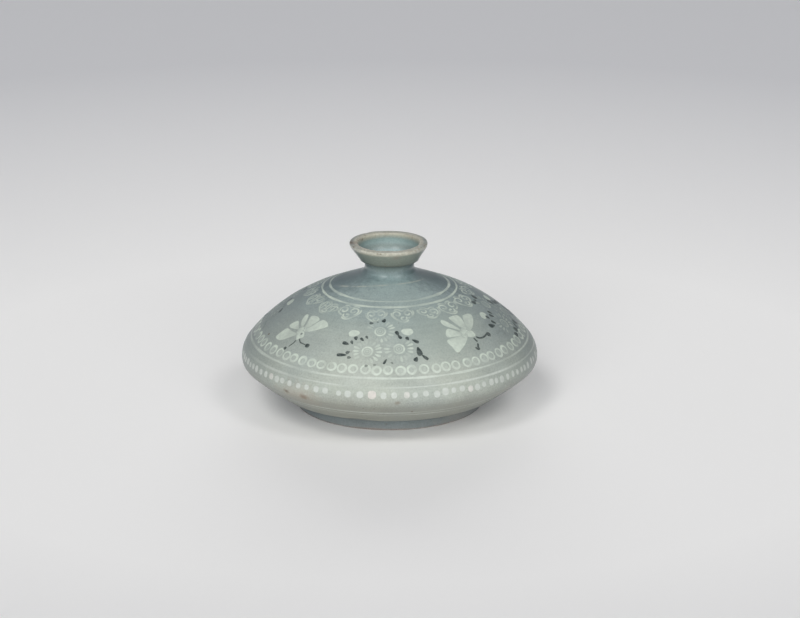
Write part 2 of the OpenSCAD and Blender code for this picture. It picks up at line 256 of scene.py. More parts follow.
print(f"a floor {2 * FLOOR_HALF:.0f} m wide")

# %% [markdown]
# ## Light
# Area lamps would light only the ground near them, so the floor would darken towards the horizon.
# Wide soft suns light it evenly from any view: a key and a fill from the front, and one behind
# that only fills the far side. Two smaller suns higher up stand for the windows of a studio. Only
# those two are seen in the glaze, as its highlights. The camera and the glaze see the grey of the
# sky, and the light that falls from it is weaker.

# %% Lamps and sky
SKY_SEEN = (0.29, 0.295, 0.305, 1.0)
SKY = (0.128, 0.133, 0.148, 1.0)
# azimuth, elevation, width of the sun in degrees, share of full light, seen in reflections
LAMPS = {
    "key": (-14, 20, 40, 0.61, False),
    "fill": (22, 16, 40, 0.26, False),
    "left_window": (-34, 54, 22, 0.2, True),
    "right_window": (48, 52, 22, 0.13, True),
    "back": (180, 4, 50, 0.85, False),
}

for name, (azimuth, elevation, width, share, glossy) in LAMPS.items():
    sun = bpy.data.lights.new(name, "SUN")
    sun.energy = np.pi * share
    sun.angle = np.radians(width)
    lamp = bpy.data.objects.new(name, sun)
    lamp.rotation_euler = (np.radians(90 - elevation), 0, np.radians(azimuth))
    lamp.visible_glossy = glossy
    scene.collection.objects.link(lamp)

sky = bpy.data.worlds.new("sky")
sky.use_nodes = True
sky_tree = sky.node_tree
ray = node(sky_tree, "LightPath", {}).outputs
seen = ray["Is Camera Ray"]
for kind in ("Is Glossy Ray", "Is Transmission Ray"):
    seen = sums(sky_tree, "MAXIMUM", seen, ray[kind])
sky_colour = blend(sky_tree, seen, SKY, SKY_SEEN)
feed(sky_tree, sky_tree.nodes["Background"].inputs, {"Color": sky_colour})
scene.world = sky
print(f"{len(LAMPS)} suns")

# %% [markdown]
# ## The curve of the wall
# The wall bends at a steady rate over each stretch: a tight turn at the girth, a long dome, a
# straight cone under the neck, and a slight bulge under the girth. So the turn of its normal,
# drawn against the distance along the wall, is a line with a few corners. Adding up small steps
# in that direction gives radius and height. A spline through drawn points would also do, but it
# would wave, and it would not follow the frame's own arcs.

# %% Wall curve
UPPER_TURN_R, LOWER_TURN_R = 7.85, 3.0
DOME_R, BULGE_R = 53.2, 141.0
KNEE_SLOPE, CONE_SLOPE, LOWER_SLOPE = np.radians([50.9, 22.6, 40.0])
UNDER_EDGE_R = 34.0
WALL_LOW, WALL_HIGH, WALL_STEP = -16.0, 50.0, 0.02

low_knee_rise = -LOWER_TURN_R * (np.pi / 2 - LOWER_SLOPE)
knee_rise = UPPER_TURN_R * (np.pi / 2 - KNEE_SLOPE)
dome_rise = knee_rise + DOME_R * (KNEE_SLOPE - CONE_SLOPE)
lowest_turn = np.pi - LOWER_SLOPE + (low_knee_rise - WALL_LOW) / BULGE_R
fine_rise = np.arange(WALL_LOW, WALL_HIGH, WALL_STEP)
fine_turn = np.interp(
    fine_rise,
    [WALL_LOW, low_knee_rise, 0, knee_rise, dome_rise, WALL_HIGH],
    [lowest_turn, np.pi - LOWER_SLOPE, np.pi / 2, KNEE_SLOPE, CONE_SLOPE, CONE_SLOPE],
)
half_turn = fine_turn[:-1] + np.diff(fine_turn) / 2
fine_r = np.concatenate([[0], np.cumsum(-np.cos(half_turn) * WALL_STEP)])
fine_z = np.concatenate([[0], np.cumsum(np.sin(half_turn) * WALL_STEP)])
fine_r += girth_r - np.interp(0, fine_rise, fine_r)
fine_z += girth_z - np.interp(0, fine_rise, fine_z)
under_edge_rise = np.interp(UNDER_EDGE_R, fine_r[fine_rise < 0], fine_rise[fine_rise < 0])
seat_rise = np.interp(seat_z, fine_z, fine_rise)


def wall(rise):
    """Radius, height and turn of the normal from upright, at a distance up the wall."""
    return tuple(np.interp(rise, fine_rise, curve) for curve in (fine_r, fine_z, fine_turn))


print(f"the wall runs from {under_edge_rise:.1f} mm under the girth to {seat_rise:.1f} mm above it")

# %% [markdown]
# ## A hand-turned shape
# Nothing from a wheel is perfectly round. Each point is pushed out or in by a small share of its
# radius, which changes slowly round the axis, and shallow finger ridges run round the lower
# wall. Every piece goes through the same function, so slip and clay still meet exactly.

# %% Hand-turned drift
OVAL, THREE_SIDED, RIDGE = 0.0016, 0.0008, 0.0005
OVAL_TURN, THREE_TURN = 0.7, 2.0
RIDGE_PITCH = 2.1
# the ridges grow over the first height above the foot, and fade over the second up to the last
RIDGES_IN, RIDGES_OUT, RIDGES_TOP = 2, 4, girth_z + 1


def thrown(points):
    """Radius times 1 + oval cos(2a) + three-sided cos(3a) + ridge sin(2 pi z / pitch)."""
    x, y, z = np.moveaxis(points, -1, 0)
    a = np.arctan2(x, -y)
    low = np.clip((RIDGES_TOP - z) / RIDGES_OUT, 0, 1) * np.clip((z - foot_h) / RIDGES_IN, 0, 1)
    ridges = RIDGE * low * np.sin(2 * np.pi * z / RIDGE_PITCH + np.cos(a))
    share = 1 + OVAL * np.cos(2 * a + OVAL_TURN) + THREE_SIDED * np.cos(3 * a + THREE_TURN) + ridges
    return np.stack([x * share, y * share, z], -1)


print(f"out of round by up to {(OVAL + THREE_SIDED) * girth_r:.2f} mm at the girth")

# %% [markdown]
# ## Filling a mesh
# A piece is a grid of points, worked out as whole arrays. Neighbours on the grid make four-sided
# faces. Where a face should point is easy to test on a closed shape: its volume is positive when
# all faces point outwards, so a negative one is turned round.

# %% Mesh helpers
WELD = 1e-8
CREASE = np.radians(40)


def grid_faces(rows, columns, wrap_rows, wrap_columns):
    """Four corner numbers for each cell of a grid of points, which may close on itself."""
    i = np.arange(rows if wrap_rows else rows - 1)[:, None]
    j = np.arange(columns if wrap_columns else columns - 1)[None, :]
    below, beside = (i + 1) % rows * columns, (j + 1) % columns
    corners = [i * columns + j, i * columns + beside, below + beside, below + j]
    return np.stack(corners, -1).reshape(-1, 4)


def put(name, points, faces, finish, nodes, marks=None):
    """Fills a closed mesh, turns its faces out and hands it to the frame."""
    mesh = bpy.data.meshes.new(name)
    mesh.from_pydata((points.reshape(-1, 3) * MM).tolist(), [], faces)
    for mark, values in (marks or {}).items():
        layer = mesh.attributes.new(mark, "FLOAT", "POINT")
        layer.data.foreach_set("value", np.asarray(values, np.float32).ravel())
    work = bmesh.new()
    work.from_mesh(mesh)
    bmesh.ops.remove_doubles(work, verts=work.verts, dist=WELD)
    if work.calc_volume(signed=True) < 0:
        bmesh.ops.reverse_faces(work, faces=work.faces)
    work.to_mesh(mesh)
    work.free()
    mesh.shade_smooth()
    mesh.set_sharp_from_angle(angle=CREASE)
    mesh.materials.append(finish)
    piece = bpy.data.objects.new(name, mesh)
    scene.collection.objects.link(piece)
    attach(piece, "root")
    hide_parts(*nodes)
    print(f"{name}: {len(mesh.vertices)} points, {len(mesh.polygons)} faces")


print("mesh helpers ready")

# %% [markdown]
# ## The glaze
# Celadon is a clear grey-green glass over grey clay. Where it is thin, on edges and the belly,
# the clay makes it pale and buff. Where it pools, under the neck and round the foot, it turns
# blue and dark. So the colour follows the height, with soft stains and painted shade over it.
# An image could hold all this, but a formula has no seam and can be looked at from any distance.

# %% Tones, stains and painted shade
# spots are wider than tall, strongest up to this share of their reach, and ragged at the edge
STAIN_SHAPE = (1, 1, 1.8)
STAIN_CORE = 0.2
RAGGED_SIZE, RAGGED = 1.4, (0.7, 1.4)


def height_tones(tree, level, tones):
    """A colour that follows the height. tones are pairs of a height and a colour."""
    bands = node(tree, "ValToRGB", {0: level})
    stops = bands.color_ramp.elements
    while len(stops) < len(tones):
        stops.new(0.5)
    for stop, (stop_height, tone) in zip(stops, tones):
        stop.position = stop_height / lip_z
        stop.color = paint(*tone)
    return bands.outputs[0]


def stained_and_shaded(tree, place, colour, stains_and_shades):
    """Soft ragged spots of stain and of painted shade that fade with the distance from their middle."""
    flat = vectors(tree, "MULTIPLY", place, STAIN_SHAPE)
    ragged = mottle(tree, noise(tree, place, RAGGED_SIZE, 3.0), *RAGGED)
    for middle, reach, share, tone in stains_and_shades:
        apart = vectors(tree, "DISTANCE", flat, tuple(np.multiply(middle, STAIN_SHAPE)))
        near = spread(tree, times(tree, apart, ragged), STAIN_CORE * reach, reach, share, 0)
        colour = blend(tree, near, colour, paint(*tone))
    return colour


print("tones and stains ready")

# %% [markdown]
# Slow noise bends the heights, so no tone lies in a straight band. The two sides of the bottle, as
# seen from the front, get a painted shade that makes them bluer and darker than its front. Cloudy
# spots, streaks from the wheel and a fine grain shade the glaze. Random cells give the rest: a
# faint net of crackle along their borders, and small pits and a few iron specks at their middles.

# %% Glaze pattern
# from -1 at the front to 1 at the back: where the painted shade of the sides starts and ends,
# and how strong it is
SHADE_SIDES_UP, SHADE_SIDES_DOWN = (-0.85, 0.15, 0, 0.62), (0.15, 0.8, 1, 0.25)
# the first tone is the painted shade of the two sides
SIDE_SHADE_TONE, COOL, IRON = paint(82, 99, 107), paint(140, 152, 156), paint(92, 72, 52)
COOL_RANGE = (0.45, 0.75, 0, 0.22)
# how wide the spots of each noise are
DRIFT_SIZE, COOL_SIZE, CLOUDY_SIZE, GRAIN_SIZE = 22, 17, 5, 0.5
STREAK_SHAPE = (0.1, 0.1, 1.5)
# how much each pattern lightens or darkens the glaze
CLOUDY_SHADE, STREAK_SHADE, GRAIN_SHADE = 0.05, 0.035, 0.085
CRACKLE_SHADE, PIT_SHADE = 0.06, 0.10
# cells to a millimetre, and the distances over which each mark fades
WOBBLE_CELLS, CRACKLE_CELLS, PIT_CELLS, SPECK_CELLS = 0.4, 0.3, 0.8, 0.28
CRACKLE_FADE, PIT_FADE, SPECK_FADE = (0.0, 0.03), (0.05, 0.22), (0.03, 0.13)
DARKEST_SPECK = 1.4
GLAZE_ROUGH = (0.32, 0.42)
PIT_DEPTH = 0.3


def glaze(tree, tones, wander, iron_share, stains_and_shades=(), inside_tones=None):
    """Colour, roughness and relief of the glaze, with other tones where a piece is hollow."""
    place = place_mm(tree)
    drift = mottle(tree, noise(tree, place, DRIFT_SIZE), -wander, wander)
    level = spread(tree, sums(tree, "ADD", axes(tree, place)["Z"], drift), 0, lip_z, 0, 1)
    # painted shade: seen from the front, the two sides are blended towards a darker, bluer tone
    outward = vectors(tree, "NORMALIZE", vectors(tree, "MULTIPLY", place, (1, 1, 0)))
    to_back = axes(tree, outward)["Y"]
    side_shade_share = times(tree, *(spread(tree, to_back, *way) for way in (SHADE_SIDES_UP, SHADE_SIDES_DOWN)))
    colour = blend(tree, side_shade_share, height_tones(tree, level, tones), SIDE_SHADE_TONE)
    if inside_tones:
        hollow = height_tones(tree, level, inside_tones)
        colour = blend(tree, marked(tree, "inside"), colour, hollow)
    cool_share = spread(tree, noise(tree, place, COOL_SIZE), *COOL_RANGE)
    colour = blend(tree, cool_share, colour, COOL)
    cloudy = noise(tree, place, CLOUDY_SIZE, 4.0)
    streaks = noise(tree, vectors(tree, "MULTIPLY", place, STREAK_SHAPE), 1)
    grain = noise(tree, place, GRAIN_SIZE)
    shades = ((cloudy, CLOUDY_SHADE), (streaks, STREAK_SHADE), (grain, GRAIN_SHADE))
    for pattern, shade in shades:
        colour = brighten(tree, colour, mottle(tree, pattern, 1 - shade, 1 + shade))

    wobble = node(tree, "TexNoise", {"Vector": place, "Scale": WOBBLE_CELLS}).outputs["Color"]
    bent = vectors(tree, "ADD", place, wobble)
    borders = cells(tree, bent, CRACKLE_CELLS, feature="DISTANCE_TO_EDGE")["Distance"]
    crackle = spread(tree, borders, *CRACKLE_FADE, 1, 0)
    pit = spread(tree, cells(tree, place, PIT_CELLS)["Distance"], *PIT_FADE, 1, 0)
    for pattern, shade in ((crackle, CRACKLE_SHADE), (pit, PIT_SHADE)):
        colour = brighten(tree, colour, spread(tree, pattern, 0, 1, 1, 1 - shade))

    specks = cells(tree, bent, SPECK_CELLS)
    chosen = node(tree, "SeparateColor", {0: specks["Color"]}).outputs[0]
    near = spread(tree, specks["Distance"], *SPECK_FADE, 1, 0)
    speck = times(tree, near, spread(tree, chosen, 1 - iron_share, 1, 0, DARKEST_SPECK))
    colour = stained_and_shaded(tree, place, blend(tree, speck, colour, IRON), stains_and_shades)
    rough = mottle(tree, cloudy, *GLAZE_ROUGH)
    relief = sums(tree, "SUBTRACT", cloudy, times(tree, pit, PIT_DEPTH))
    return colour, rough, relief


print("glaze pattern ready")

# %% [markdown]
# Each finish is this pattern under a clear coat, with its own tones, stains and painted shade.
# The coat is thin on the body and grows towards the neck, where the glaze pooled, which gives the
# neck its shine. A finish can also be given a function that draws wear over the colour.

# %% Glaze finish
THIN_COAT, THICK_COAT, COAT_ROUGH = 0.08, 0.8, 0.28
GLAZE_SHINE = 0.3
# strength of the relief, and its depth in metres
RELIEF, RELIEF_DEPTH = 0.35, 0.00006
POOL_LOW, POOL_HIGH = seat_z - 3, seat_z - 0.8


def pooled_coat(tree):
    """A clear coat that grows under the neck, where the glaze lies thick."""
    height = axes(tree, place_mm(tree))["Z"]
    return spread(tree, height, POOL_LOW, POOL_HIGH, THIN_COAT, THICK_COAT)


def glazed(name, look, coat=THIN_COAT, wear=None):
    """A finish from what glaze takes, with a coat that is a value or a function of the tree."""
    material, tree, shader = new_finish(name)
    colour, rough, relief = glaze(tree, **look)
    bump = node(tree, "Bump", {"Height": relief, "Strength": RELIEF, "Distance": RELIEF_DEPTH})
    feed(tree, shader.inputs, {
        "Base Color": wear(tree, colour) if wear else colour,
        "Roughness": rough,
        "Normal": bump.outputs[0],
        "Specular IOR Level": GLAZE_SHINE,
        "Coat Weight": coat(tree) if callable(coat) else coat,
        "Coat Roughness": COAT_ROUGH,
    })
    return material


print(f"clear coat from {THIN_COAT} on the body to {THICK_COAT} at the neck")

# %% [markdown]
# The body is buff under the girth, grey-green on the dome and bluer towards the neck. A thin pale
# crack runs part of the way round under the neck. It is drawn where the height of a point comes
# near a parabola over the front, and noise breaks it up.

# %% Body glaze
# heights and tones, from the foot to the neck
BODY_TONES = [
    (foot_h, (98, 106, 105)),
    (foot_h + 0.5, (108, 114, 108)),
    (foot_h + 0.8, (152, 151, 139)),
    (foot_h + 1.3, (136, 138, 128)),
    (foot_h + 2.4, (140, 142, 132)),
    (girth_z - 3.0, (143, 145, 135)),
    (girth_z - 0.5, (151, 155, 146)),
    (girth_z + 2.0, (165, 171, 161)),
    (girth_z + 7.0, (166, 172, 162)),
    (girth_z + 15.0, (160, 168, 160)),
    (seat_z - 7.0, (151, 163, 158)),
    (seat_z - 1.6, (144, 159, 157)),
    (seat_z - 0.5, (129, 147, 146)),
    (seat_z + 0.4, (117, 135, 134)),
]
# middle, reach, strength and tone of each spot: four stains, then painted shade at both sides
# of the cone under the neck and on the right of the dome
BODY_STAINS_AND_SHADES = [
    ((-27.0, -35.6, 13.4), 10.0, 0.35, (150, 134, 118)),
    ((-30.5, -33.1, 14.1), 1.2, 0.7, (94, 80, 64)),
    ((-25.3, -37.0, 13.6), 2.0, 0.6, (112, 92, 74)),
    ((2.5, -44.9, 14.5), 1.4, 0.55, (112, 98, 82)),
    # painted shade from here on
    ((-13.0, 1.0, 40.0), 15.5, 0.75, (80, 98, 101)),
    ((13.0, 1.0, 40.0), 14.0, 0.8, (72, 90, 92)),
    ((36.0, -10.0, 27.0), 15.0, 0.25, (98, 113, 116)),
    ((15.4, -28.1, 30.0), 20.0, 0.45, (142, 154, 148)),
]
body_look = {"tones": BODY_TONES, "wander": 1.2, "iron_share": 0.10, "stains_and_shades": BODY_STAINS_AND_SHADES}
# height at the middle, slope and bend of the crack, then how it fades aside, breaks and ends
CRACK_Z, CRACK_SLOPE, CRACK_BEND = seat_z - 1.1, 0.049, -0.006
CRACK_FADE, CRACK_BREAKS, CRACK_END = (0.04, 0.13, 0.42, 0), (0.35, 0.55, 0.2, 1), (-6, -3, 1, 0)
CRACK_SIZE = 2.5
CRACK_TONE = paint(188, 188, 172)


def cracked(tree, colour):
    """A pale broken crack along z = middle + x (slope + bend x), on the front only."""
    place = place_mm(tree)
    x, y, z = axes(tree, place)
    lean = sums(tree, "ADD", CRACK_SLOPE, times(tree, x, CRACK_BEND))
    line = sums(tree, "ADD", CRACK_Z, times(tree, x, lean))
    apart = sums(tree, "ABSOLUTE", sums(tree, "SUBTRACT", z, line))
    broken = spread(tree, noise(tree, place, CRACK_SIZE), *CRACK_BREAKS)
    share = times(tree, spread(tree, apart, *CRACK_FADE), broken, spread(tree, y, *CRACK_END))
    return blend(tree, share, colour, CRACK_TONE)


body_finish = glazed("celadon_glaze", body_look, pooled_coat, cracked)
print(f"body glaze with {len(BODY_TONES)} tones and {len(BODY_STAINS_AND_SHADES)} stains")

# %% [markdown]
# The neck is the darkest glaze, because it ran down and gathered there. Its darkest tone, in the
# crease under the cup, is painted shade, and so are two darker spots on its left and right. The
# foot is grey-blue, and warmer at its edge, where clay shows through.

# %% Neck and foot glaze
NECK_TONES = [
    (seat_z + 0.4, (118, 136, 135)),
    (seat_z + 1.5, (116, 132, 131)),
    (cup_z - 0.8, (104, 116, 112)),
    # painted shade in the crease under the cup
    (cup_z - 0.2, (86, 94, 88)),
]
# painted shade on the left and right of the neck, near its foot
NECK_SHADE_SPOTS = [
    ((-8.0, -2.0, seat_z + 0.8), 6.0, 0.6, (78, 96, 97)),
    ((7.7, -2.8, seat_z + 0.8), 7.5, 0.8, (66, 86, 86)),
]
neck_look = {"tones": NECK_TONES, "wander": 0.15, "iron_share": 0.05, "stains_and_shades": NECK_SHADE_SPOTS}
neck_finish = glazed("neck_glaze", neck_look, THICK_COAT)

FOOT_TONES = [
    (0.0, (130, 121, 114)),
    (0.7, (119, 126, 126)),
    (foot_h, (108, 118, 119)),
]
FOOT_STAINS = [((22.0, -18.0, 2.2), 14.0, 0.3, (162, 156, 146))]
foot_look = {"tones": FOOT_TONES, "wander": 0.4, "iron_share": 0.2, "stains_and_shades": FOOT_STAINS}
foot_finish = glazed("foot_glaze", foot_look)
print("neck and foot glaze ready")

# %% [markdown]
# The cup is blue inside and buff outside, and its lip is pale, because glaze runs off an edge. The
# lip is also the part that wears: creamy flakes lie where glaze chipped off, and iron has bled
# through at its two sides. Both are noise, kept to the lip by the height.

# %% Cup glaze
CUP_TONES = [
    # painted shade at the foot of the cup, by the crease
    (cup_z, (80, 85, 78)),
    (cup_z + 0.7, (114, 121, 111)),
    (lip_z - 1.45, (131, 138, 127)),
    (lip_z - 1.05, (158, 156, 142)),
    (lip_z - 0.6, (177, 177, 163)),
    (lip_z, (175, 175, 161)),
]
CUP_STAINS = [
    ((-12.1, -0.8, lip_z - 0.3), 2.4, 0.95, (88, 70, 52)),
    ((9.0, -5.5, cup_z + 2.4), 7.0, 0.4, (152, 158, 146)),
    ((-10.7, -5.1, lip_z - 0.1), 1.0, 0.8, (104, 92, 68)),
    ((-3.5, -11.3, lip_z - 0.4), 0.6, 0.8, (96, 80, 58)),
    ((-2.6, -11.5, lip_z - 0.4), 0.55, 0.75, (100, 84, 60)),
    ((2.0, -10.9, lip_z - 1.9), 2.2, 0.4, (132, 116, 104)),
]
CUP_INSIDE_TONES_AND_HIGHLIGHT = [
    # the bottom of the inside is paler: a painted highlight, and painted light against the lip's shade
    (cup_floor_z, (172, 191, 190)),
    (lip_z - 1.8, (132, 152, 149)),
    (lip_z - 1.2, (150, 156, 145)),
    (lip_z - 0.6, (174, 172, 156)),
    (lip_z, (178, 176, 160)),
]
cup_look = {"tones": CUP_TONES, "wander": 0.2, "iron_share": 0.30, "stains_and_shades": CUP_STAINS,
            "inside_tones": CUP_INSIDE_TONES_AND_HIGHLIGHT}
LIP_BAND = (lip_z - 1.3, lip_z - 0.6, 0, 1)
# noise size, how the noise shows, where on the lip it shows, and the tone
FLAKE_SIZE, FLAKES, FLAKES_FRONT = 1.5, (0.54, 0.62, 0, 0.8), (-2, -8, 0, 1)
BLEED_SIZE, BLEED, BLEED_SIDES = 1.1, (0.52, 0.64, 0, 0.8), (6, 11, 0.3, 1)
FLAKE_TONE, BLEED_TONE = paint(190, 188, 173), paint(124, 106, 82)


def worn_lip(tree, colour):
    """Creamy flakes on the front of the lip, and iron that bled through, mostly at its sides."""
    place = place_mm(tree)
    x, y, z = axes(tree, place)
    at_lip = spread(tree, z, *LIP_BAND)
    flakes = spread(tree, noise(tree, place, FLAKE_SIZE, 3.0), *FLAKES)
    flakes = times(tree, flakes, spread(tree, y, *FLAKES_FRONT), at_lip)
    bleed = spread(tree, noise(tree, place, BLEED_SIZE, 3.0), *BLEED)
    aside = spread(tree, sums(tree, "ABSOLUTE", x), *BLEED_SIDES)
    colour = blend(tree, flakes, colour, FLAKE_TONE)
    return blend(tree, times(tree, bleed, aside, at_lip), colour, BLEED_TONE)


cup_finish = glazed("cup_glaze", cup_look, THICK_COAT, worn_lip)
print("cup glaze ready")

# %% [markdown]
# ## The five clay members
# Foot ring, bowl, shoulder, collar and cup are all turned shapes: an outline of radii and
# heights carried round the axis. Blender's Spin or Screw would turn a drawn profile too, but
# here the outline comes from the same wall curve as the inlays, so nothing has to be matched by
# eye. Corners of an outline are eased by a short curve, as wet fingers would ease them.

# %% Turned shapes
AROUND = 480
OUTLINE_STEP = 0.45
EASE_STEPS = 6
SAME_SPOT = 1e-6


def eased(corners):
    """Closed outline whose corners are cut back by their third value along a quadratic curve."""
    spots = np.array([corner[:2] for corner in corners], float)
    cut = np.array([corner[2] if len(corner) > 2 else 0.0 for corner in corners])[:, None]
    before, after = np.roll(spots, 1, 0) - spots, np.roll(spots, -1, 0) - spots
    start = spots + before / np.linalg.norm(before, axis=1)[:, None] * cut
    end = spots + after / np.linalg.norm(after, axis=1)[:, None] * cut
    t = np.linspace(0, 1, EASE_STEPS)[:, None, None]
    curve = (1 - t) ** 2 * start + 2 * t * (1 - t) * spots + t**2 * end
    line = np.swapaxes(curve, 0, 1).reshape(-1, 2)
    return line[np.linalg.norm(line - np.roll(line, 1, 0), axis=1) > SAME_SPOT]


def evened(outline, step=OUTLINE_STEP):
    """The outline with points added so that no side is longer than a step."""
    closed = np.vstack([outline, outline[:1]])
    far = np.concatenate([[0], np.cumsum(np.linalg.norm(np.diff(closed, axis=0), axis=1))])
    parts = np.maximum(1, np.ceil(np.diff(far) / step)).astype(int)
    marks = np.concatenate([np.linspace(a, b, n, endpoint=False)
                            for a, b, n in zip(far[:-1], far[1:], parts)])
    return np.stack([np.interp(marks, far, closed[:, k]) for k in (0, 1)], -1)


def whole_turn(count):
    """Even angles round a whole turn, in radians."""
    return np.linspace(0, 2 * np.pi, count, endpoint=False)


def turned_points(outline):
    """S(k, a) = (r_k sin a, -r_k cos a, z_k), for a closed outline of radii and heights."""
    a = whole_turn(AROUND)
    r, z = outline[:, :1], outline[:, 1:]
    return np.stack([r * np.sin(a), -r * np.cos(a), z + 0 * a], -1)


def put_turned(name, points, finish, node_name, marks=None):
    """A turned member, closed round the axis and along its outline."""
    rows, columns = points.shape[:2]
    faces = grid_faces(rows, columns, True, True).tolist()
    put(name, thrown(points), faces, finish, [node_name], marks)


print(f"{AROUND} points round each turned shape")

# %% [markdown]
# The foot is a low ring. It stands upright inside and leans outwards a little outside, up to the
# underside of the bowl, and its two lower edges are rounded from standing and from wear.

# %% Foot ring
FOOT_W, FOOT_R, FOOT_EASE, FOOT_TOP_EASE = 5.0, 28.5, 0.5, 0.1
foot_inner_r = FOOT_R - FOOT_W
foot_outline = eased([
    (foot_inner_r, 0, FOOT_EASE),
    (FOOT_R, 0, FOOT_EASE),
    (foot_top_r, foot_h, FOOT_TOP_EASE),
    (foot_inner_r, foot_h, FOOT_TOP_EASE),
])
put_turned("turned_foot", turned_points(evened(foot_outline)), foot_finish, "foot_ring")

# %% [markdown]
# The bowl is thrown open, so its outline reaches the axis twice: on the underside and on its
# floor. The points that fall together there are welded into one, which closes the poles.

# %% Lower bowl
WALL_T, FLOOR_T = 3.0, 3.2
UNDER_EASE, FLOOR_EASE = 0.7, 3.0
BOWL_STEP = 0.6
floor_z = foot_h + FLOOR_T
rim_in_r = girth_r - WALL_T
floor_r = rim_in_r - (girth_z - floor_z) / np.tan(LOWER_SLOPE)
under_r, under_z, _ = wall(under_edge_rise)


def wall_line(low, high, step=OUTLINE_STEP):
    """Radius and height along the outside wall between two rises."""
    r, z, _ = wall(np.linspace(low, high, int((high - low) / step)))
    return list(zip(r, z))


bowl_outline = eased([
    (0, foot_h),
    (foot_top_r, foot_h, 0.2),
    (under_r, under_z, UNDER_EASE),
    *wall_line(under_edge_rise + UNDER_EASE + 0.2, 0),
    (rim_in_r, girth_z, 0.1),
    (floor_r, floor_z, FLOOR_EASE),
    (0, floor_z),
])
bowl_points = turned_points(evened(bowl_outline, BOWL_STEP))
put_turned("turned_bowl", bowl_points, body_finish, "lower_bowl")

# %% [markdown]
# The shoulder closes in from the girth and runs up into the neck without a corner, because the
# joint was smoothed over with slip. One curve therefore serves both members: it leaves the cone
# along its slope, stands upright at the waist and flares out under the cup. Each half is a cubic
# with a given direction at both ends, and the members part where the collar's foot begins.

# %% Neck curve
BORE_R, SPIGOT_T, LUTE_GAP = 4.0, 1.7, 0.15
COLLAR_FOOT_R, COLLAR_TOP_R = 8.1, 8.85
WAIST_R, WAIST_UP = 7.45, 1.9
SWEEP = 1.1
# how strongly the curve follows its direction at the cone, the waist and the cup
CONE_PULL, WAIST_PULL_DOWN, WAIST_PULL_UP, CUP_PULL = 1.6, (0, 3.4), (0, 2.6), (2.6, 0.35)
spigot_r = BORE_R + SPIGOT_T
spigot_hole_r = spigot_r + LUTE_GAP
sweep_rise = seat_rise - SWEEP


def cubic(start, start_way, end, end_way, count):
    """h00 start + h10 start_way + h01 end + h11 end_way, with the cubic weights h of t."""
    t = np.linspace(0, 1, count)[:, None]
    weights = (2 * t**3 - 3 * t**2 + 1, t**3 - 2 * t**2 + t, 3 * t**2 - 2 * t**3, t**3 - t**2)
    ways = (start, start_way, end, end_way)
    return sum(weight * np.array(way, float) for weight, way in zip(weights, ways))


waist = (WAIST_R, seat_z + WAIST_UP)
cone_way = CONE_PULL * np.array([-np.cos(CONE_SLOPE), np.sin(CONE_SLOPE)])
low_neck = cubic(wall(sweep_rise)[:2], cone_way, waist, WAIST_PULL_DOWN, 30)
top_neck = cubic(waist, WAIST_PULL_UP, (COLLAR_TOP_R, cup_z), CUP_PULL, 18)
parting = np.argmax(low_neck[:, 0] < COLLAR_FOOT_R)
joint_r, joint_z = low_neck[parting]
print(f"shoulder and collar part at radius {joint_r:.2f} mm, {joint_z:.2f} mm up")

# %% [markdown]
# Only the outside of the shoulder shows, so that side gets small steps. The hidden inside lies
# one wall thickness further in and gets large ones.

# %% Shoulder
SHOULDER_STEP, INSIDE_POINTS = 0.4, 18
inside_r, inside_z, inside_turn = wall(np.linspace(dome_rise, 0, INSIDE_POINTS))
inside_line = np.stack([
    inside_r - WALL_T * np.sin(inside_turn), inside_z - WALL_T * np.cos(inside_turn)], -1)
shoulder_outline = np.vstack([
    wall_line(0, sweep_rise, SHOULDER_STEP),
    low_neck[1:parting + 1],
    [(spigot_hole_r, joint_z), (spigot_hole_r, spigot_z)],
    inside_line,
])
put_turned("turned_shoulder", turned_points(shoulder_outline), body_finish, "shoulder")

# %% [markdown]
# Inside, the cup narrows into the bore like a funnel. One smooth curve through a few drawn points
# runs all the way down, and the two members share it where they meet.

# %% Neck collar
LIP_W = 2.6
# how far in from the inner edge of the lip, and how far under the lip
FUNNEL = [(0, 0.7), (0.15, 2.1), (0.4, 3.4), (0.95, 4.45), (1.85, 5.35), (2.95, 6.1), (4.05, 6.8),
          (4.85, 7.6), (5.25, 8.5)]
FUNNEL_POINTS = 40
cup_inner_r = lip_r - LIP_W


def smooth(points, count, closed=False):
    """Points on cubics through the given ones, each with the slope between its neighbours."""
    p = np.asarray(points, float)
    if not closed:
        p = np.vstack([2 * p[0] - p[1], p, 2 * p[-1] - p[-2]])
    sides = len(p) if closed else len(p) - 3
    s = np.linspace(0, sides, count, endpoint=not closed)
    k = np.minimum(s.astype(int), sides - 1)
    f = (s - k)[:, None]
    a, b, c, d = (p[(k + j - closed) % len(p)] for j in range(4))
    return b + f / 2 * (c - a + f * (2 * a - 5 * b + 4 * c - d + f * (3 * (b - c) + d - a)))


funnel = smooth(np.array([cup_inner_r, lip_z]) - FUNNEL, FUNNEL_POINTS)
passage_r = np.interp(-cup_z, -funnel[:, 1], funnel[:, 0])
in_cup = funnel[:, 1] > cup_z
collar_outline = np.vstack([
    [(BORE_R, spigot_z), (spigot_r, spigot_z), (spigot_r, joint_z)],
    low_neck[parting:],
    top_neck[1:],
    [(passage_r, cup_z)],
    funnel[~in_cup],
])
collar_points = turned_points(evened(collar_outline))
put_turned("turned_collar", collar_points, neck_finish, "neck_collar")

# %% [markdown]
# The lip of the cup is worn. Its edge wavers, a few chips are missing, and the cup leans a little
# to one side. The lip's points are therefore pushed down near each chip by a smooth bump of the
# angle. The cup is bluer inside than outside, so each point also says on which side it lies.

# %% Mouth cup
RIDGE_R, RIDGE_H, RIDGE_IN = 9.1, 0.4, 0.1
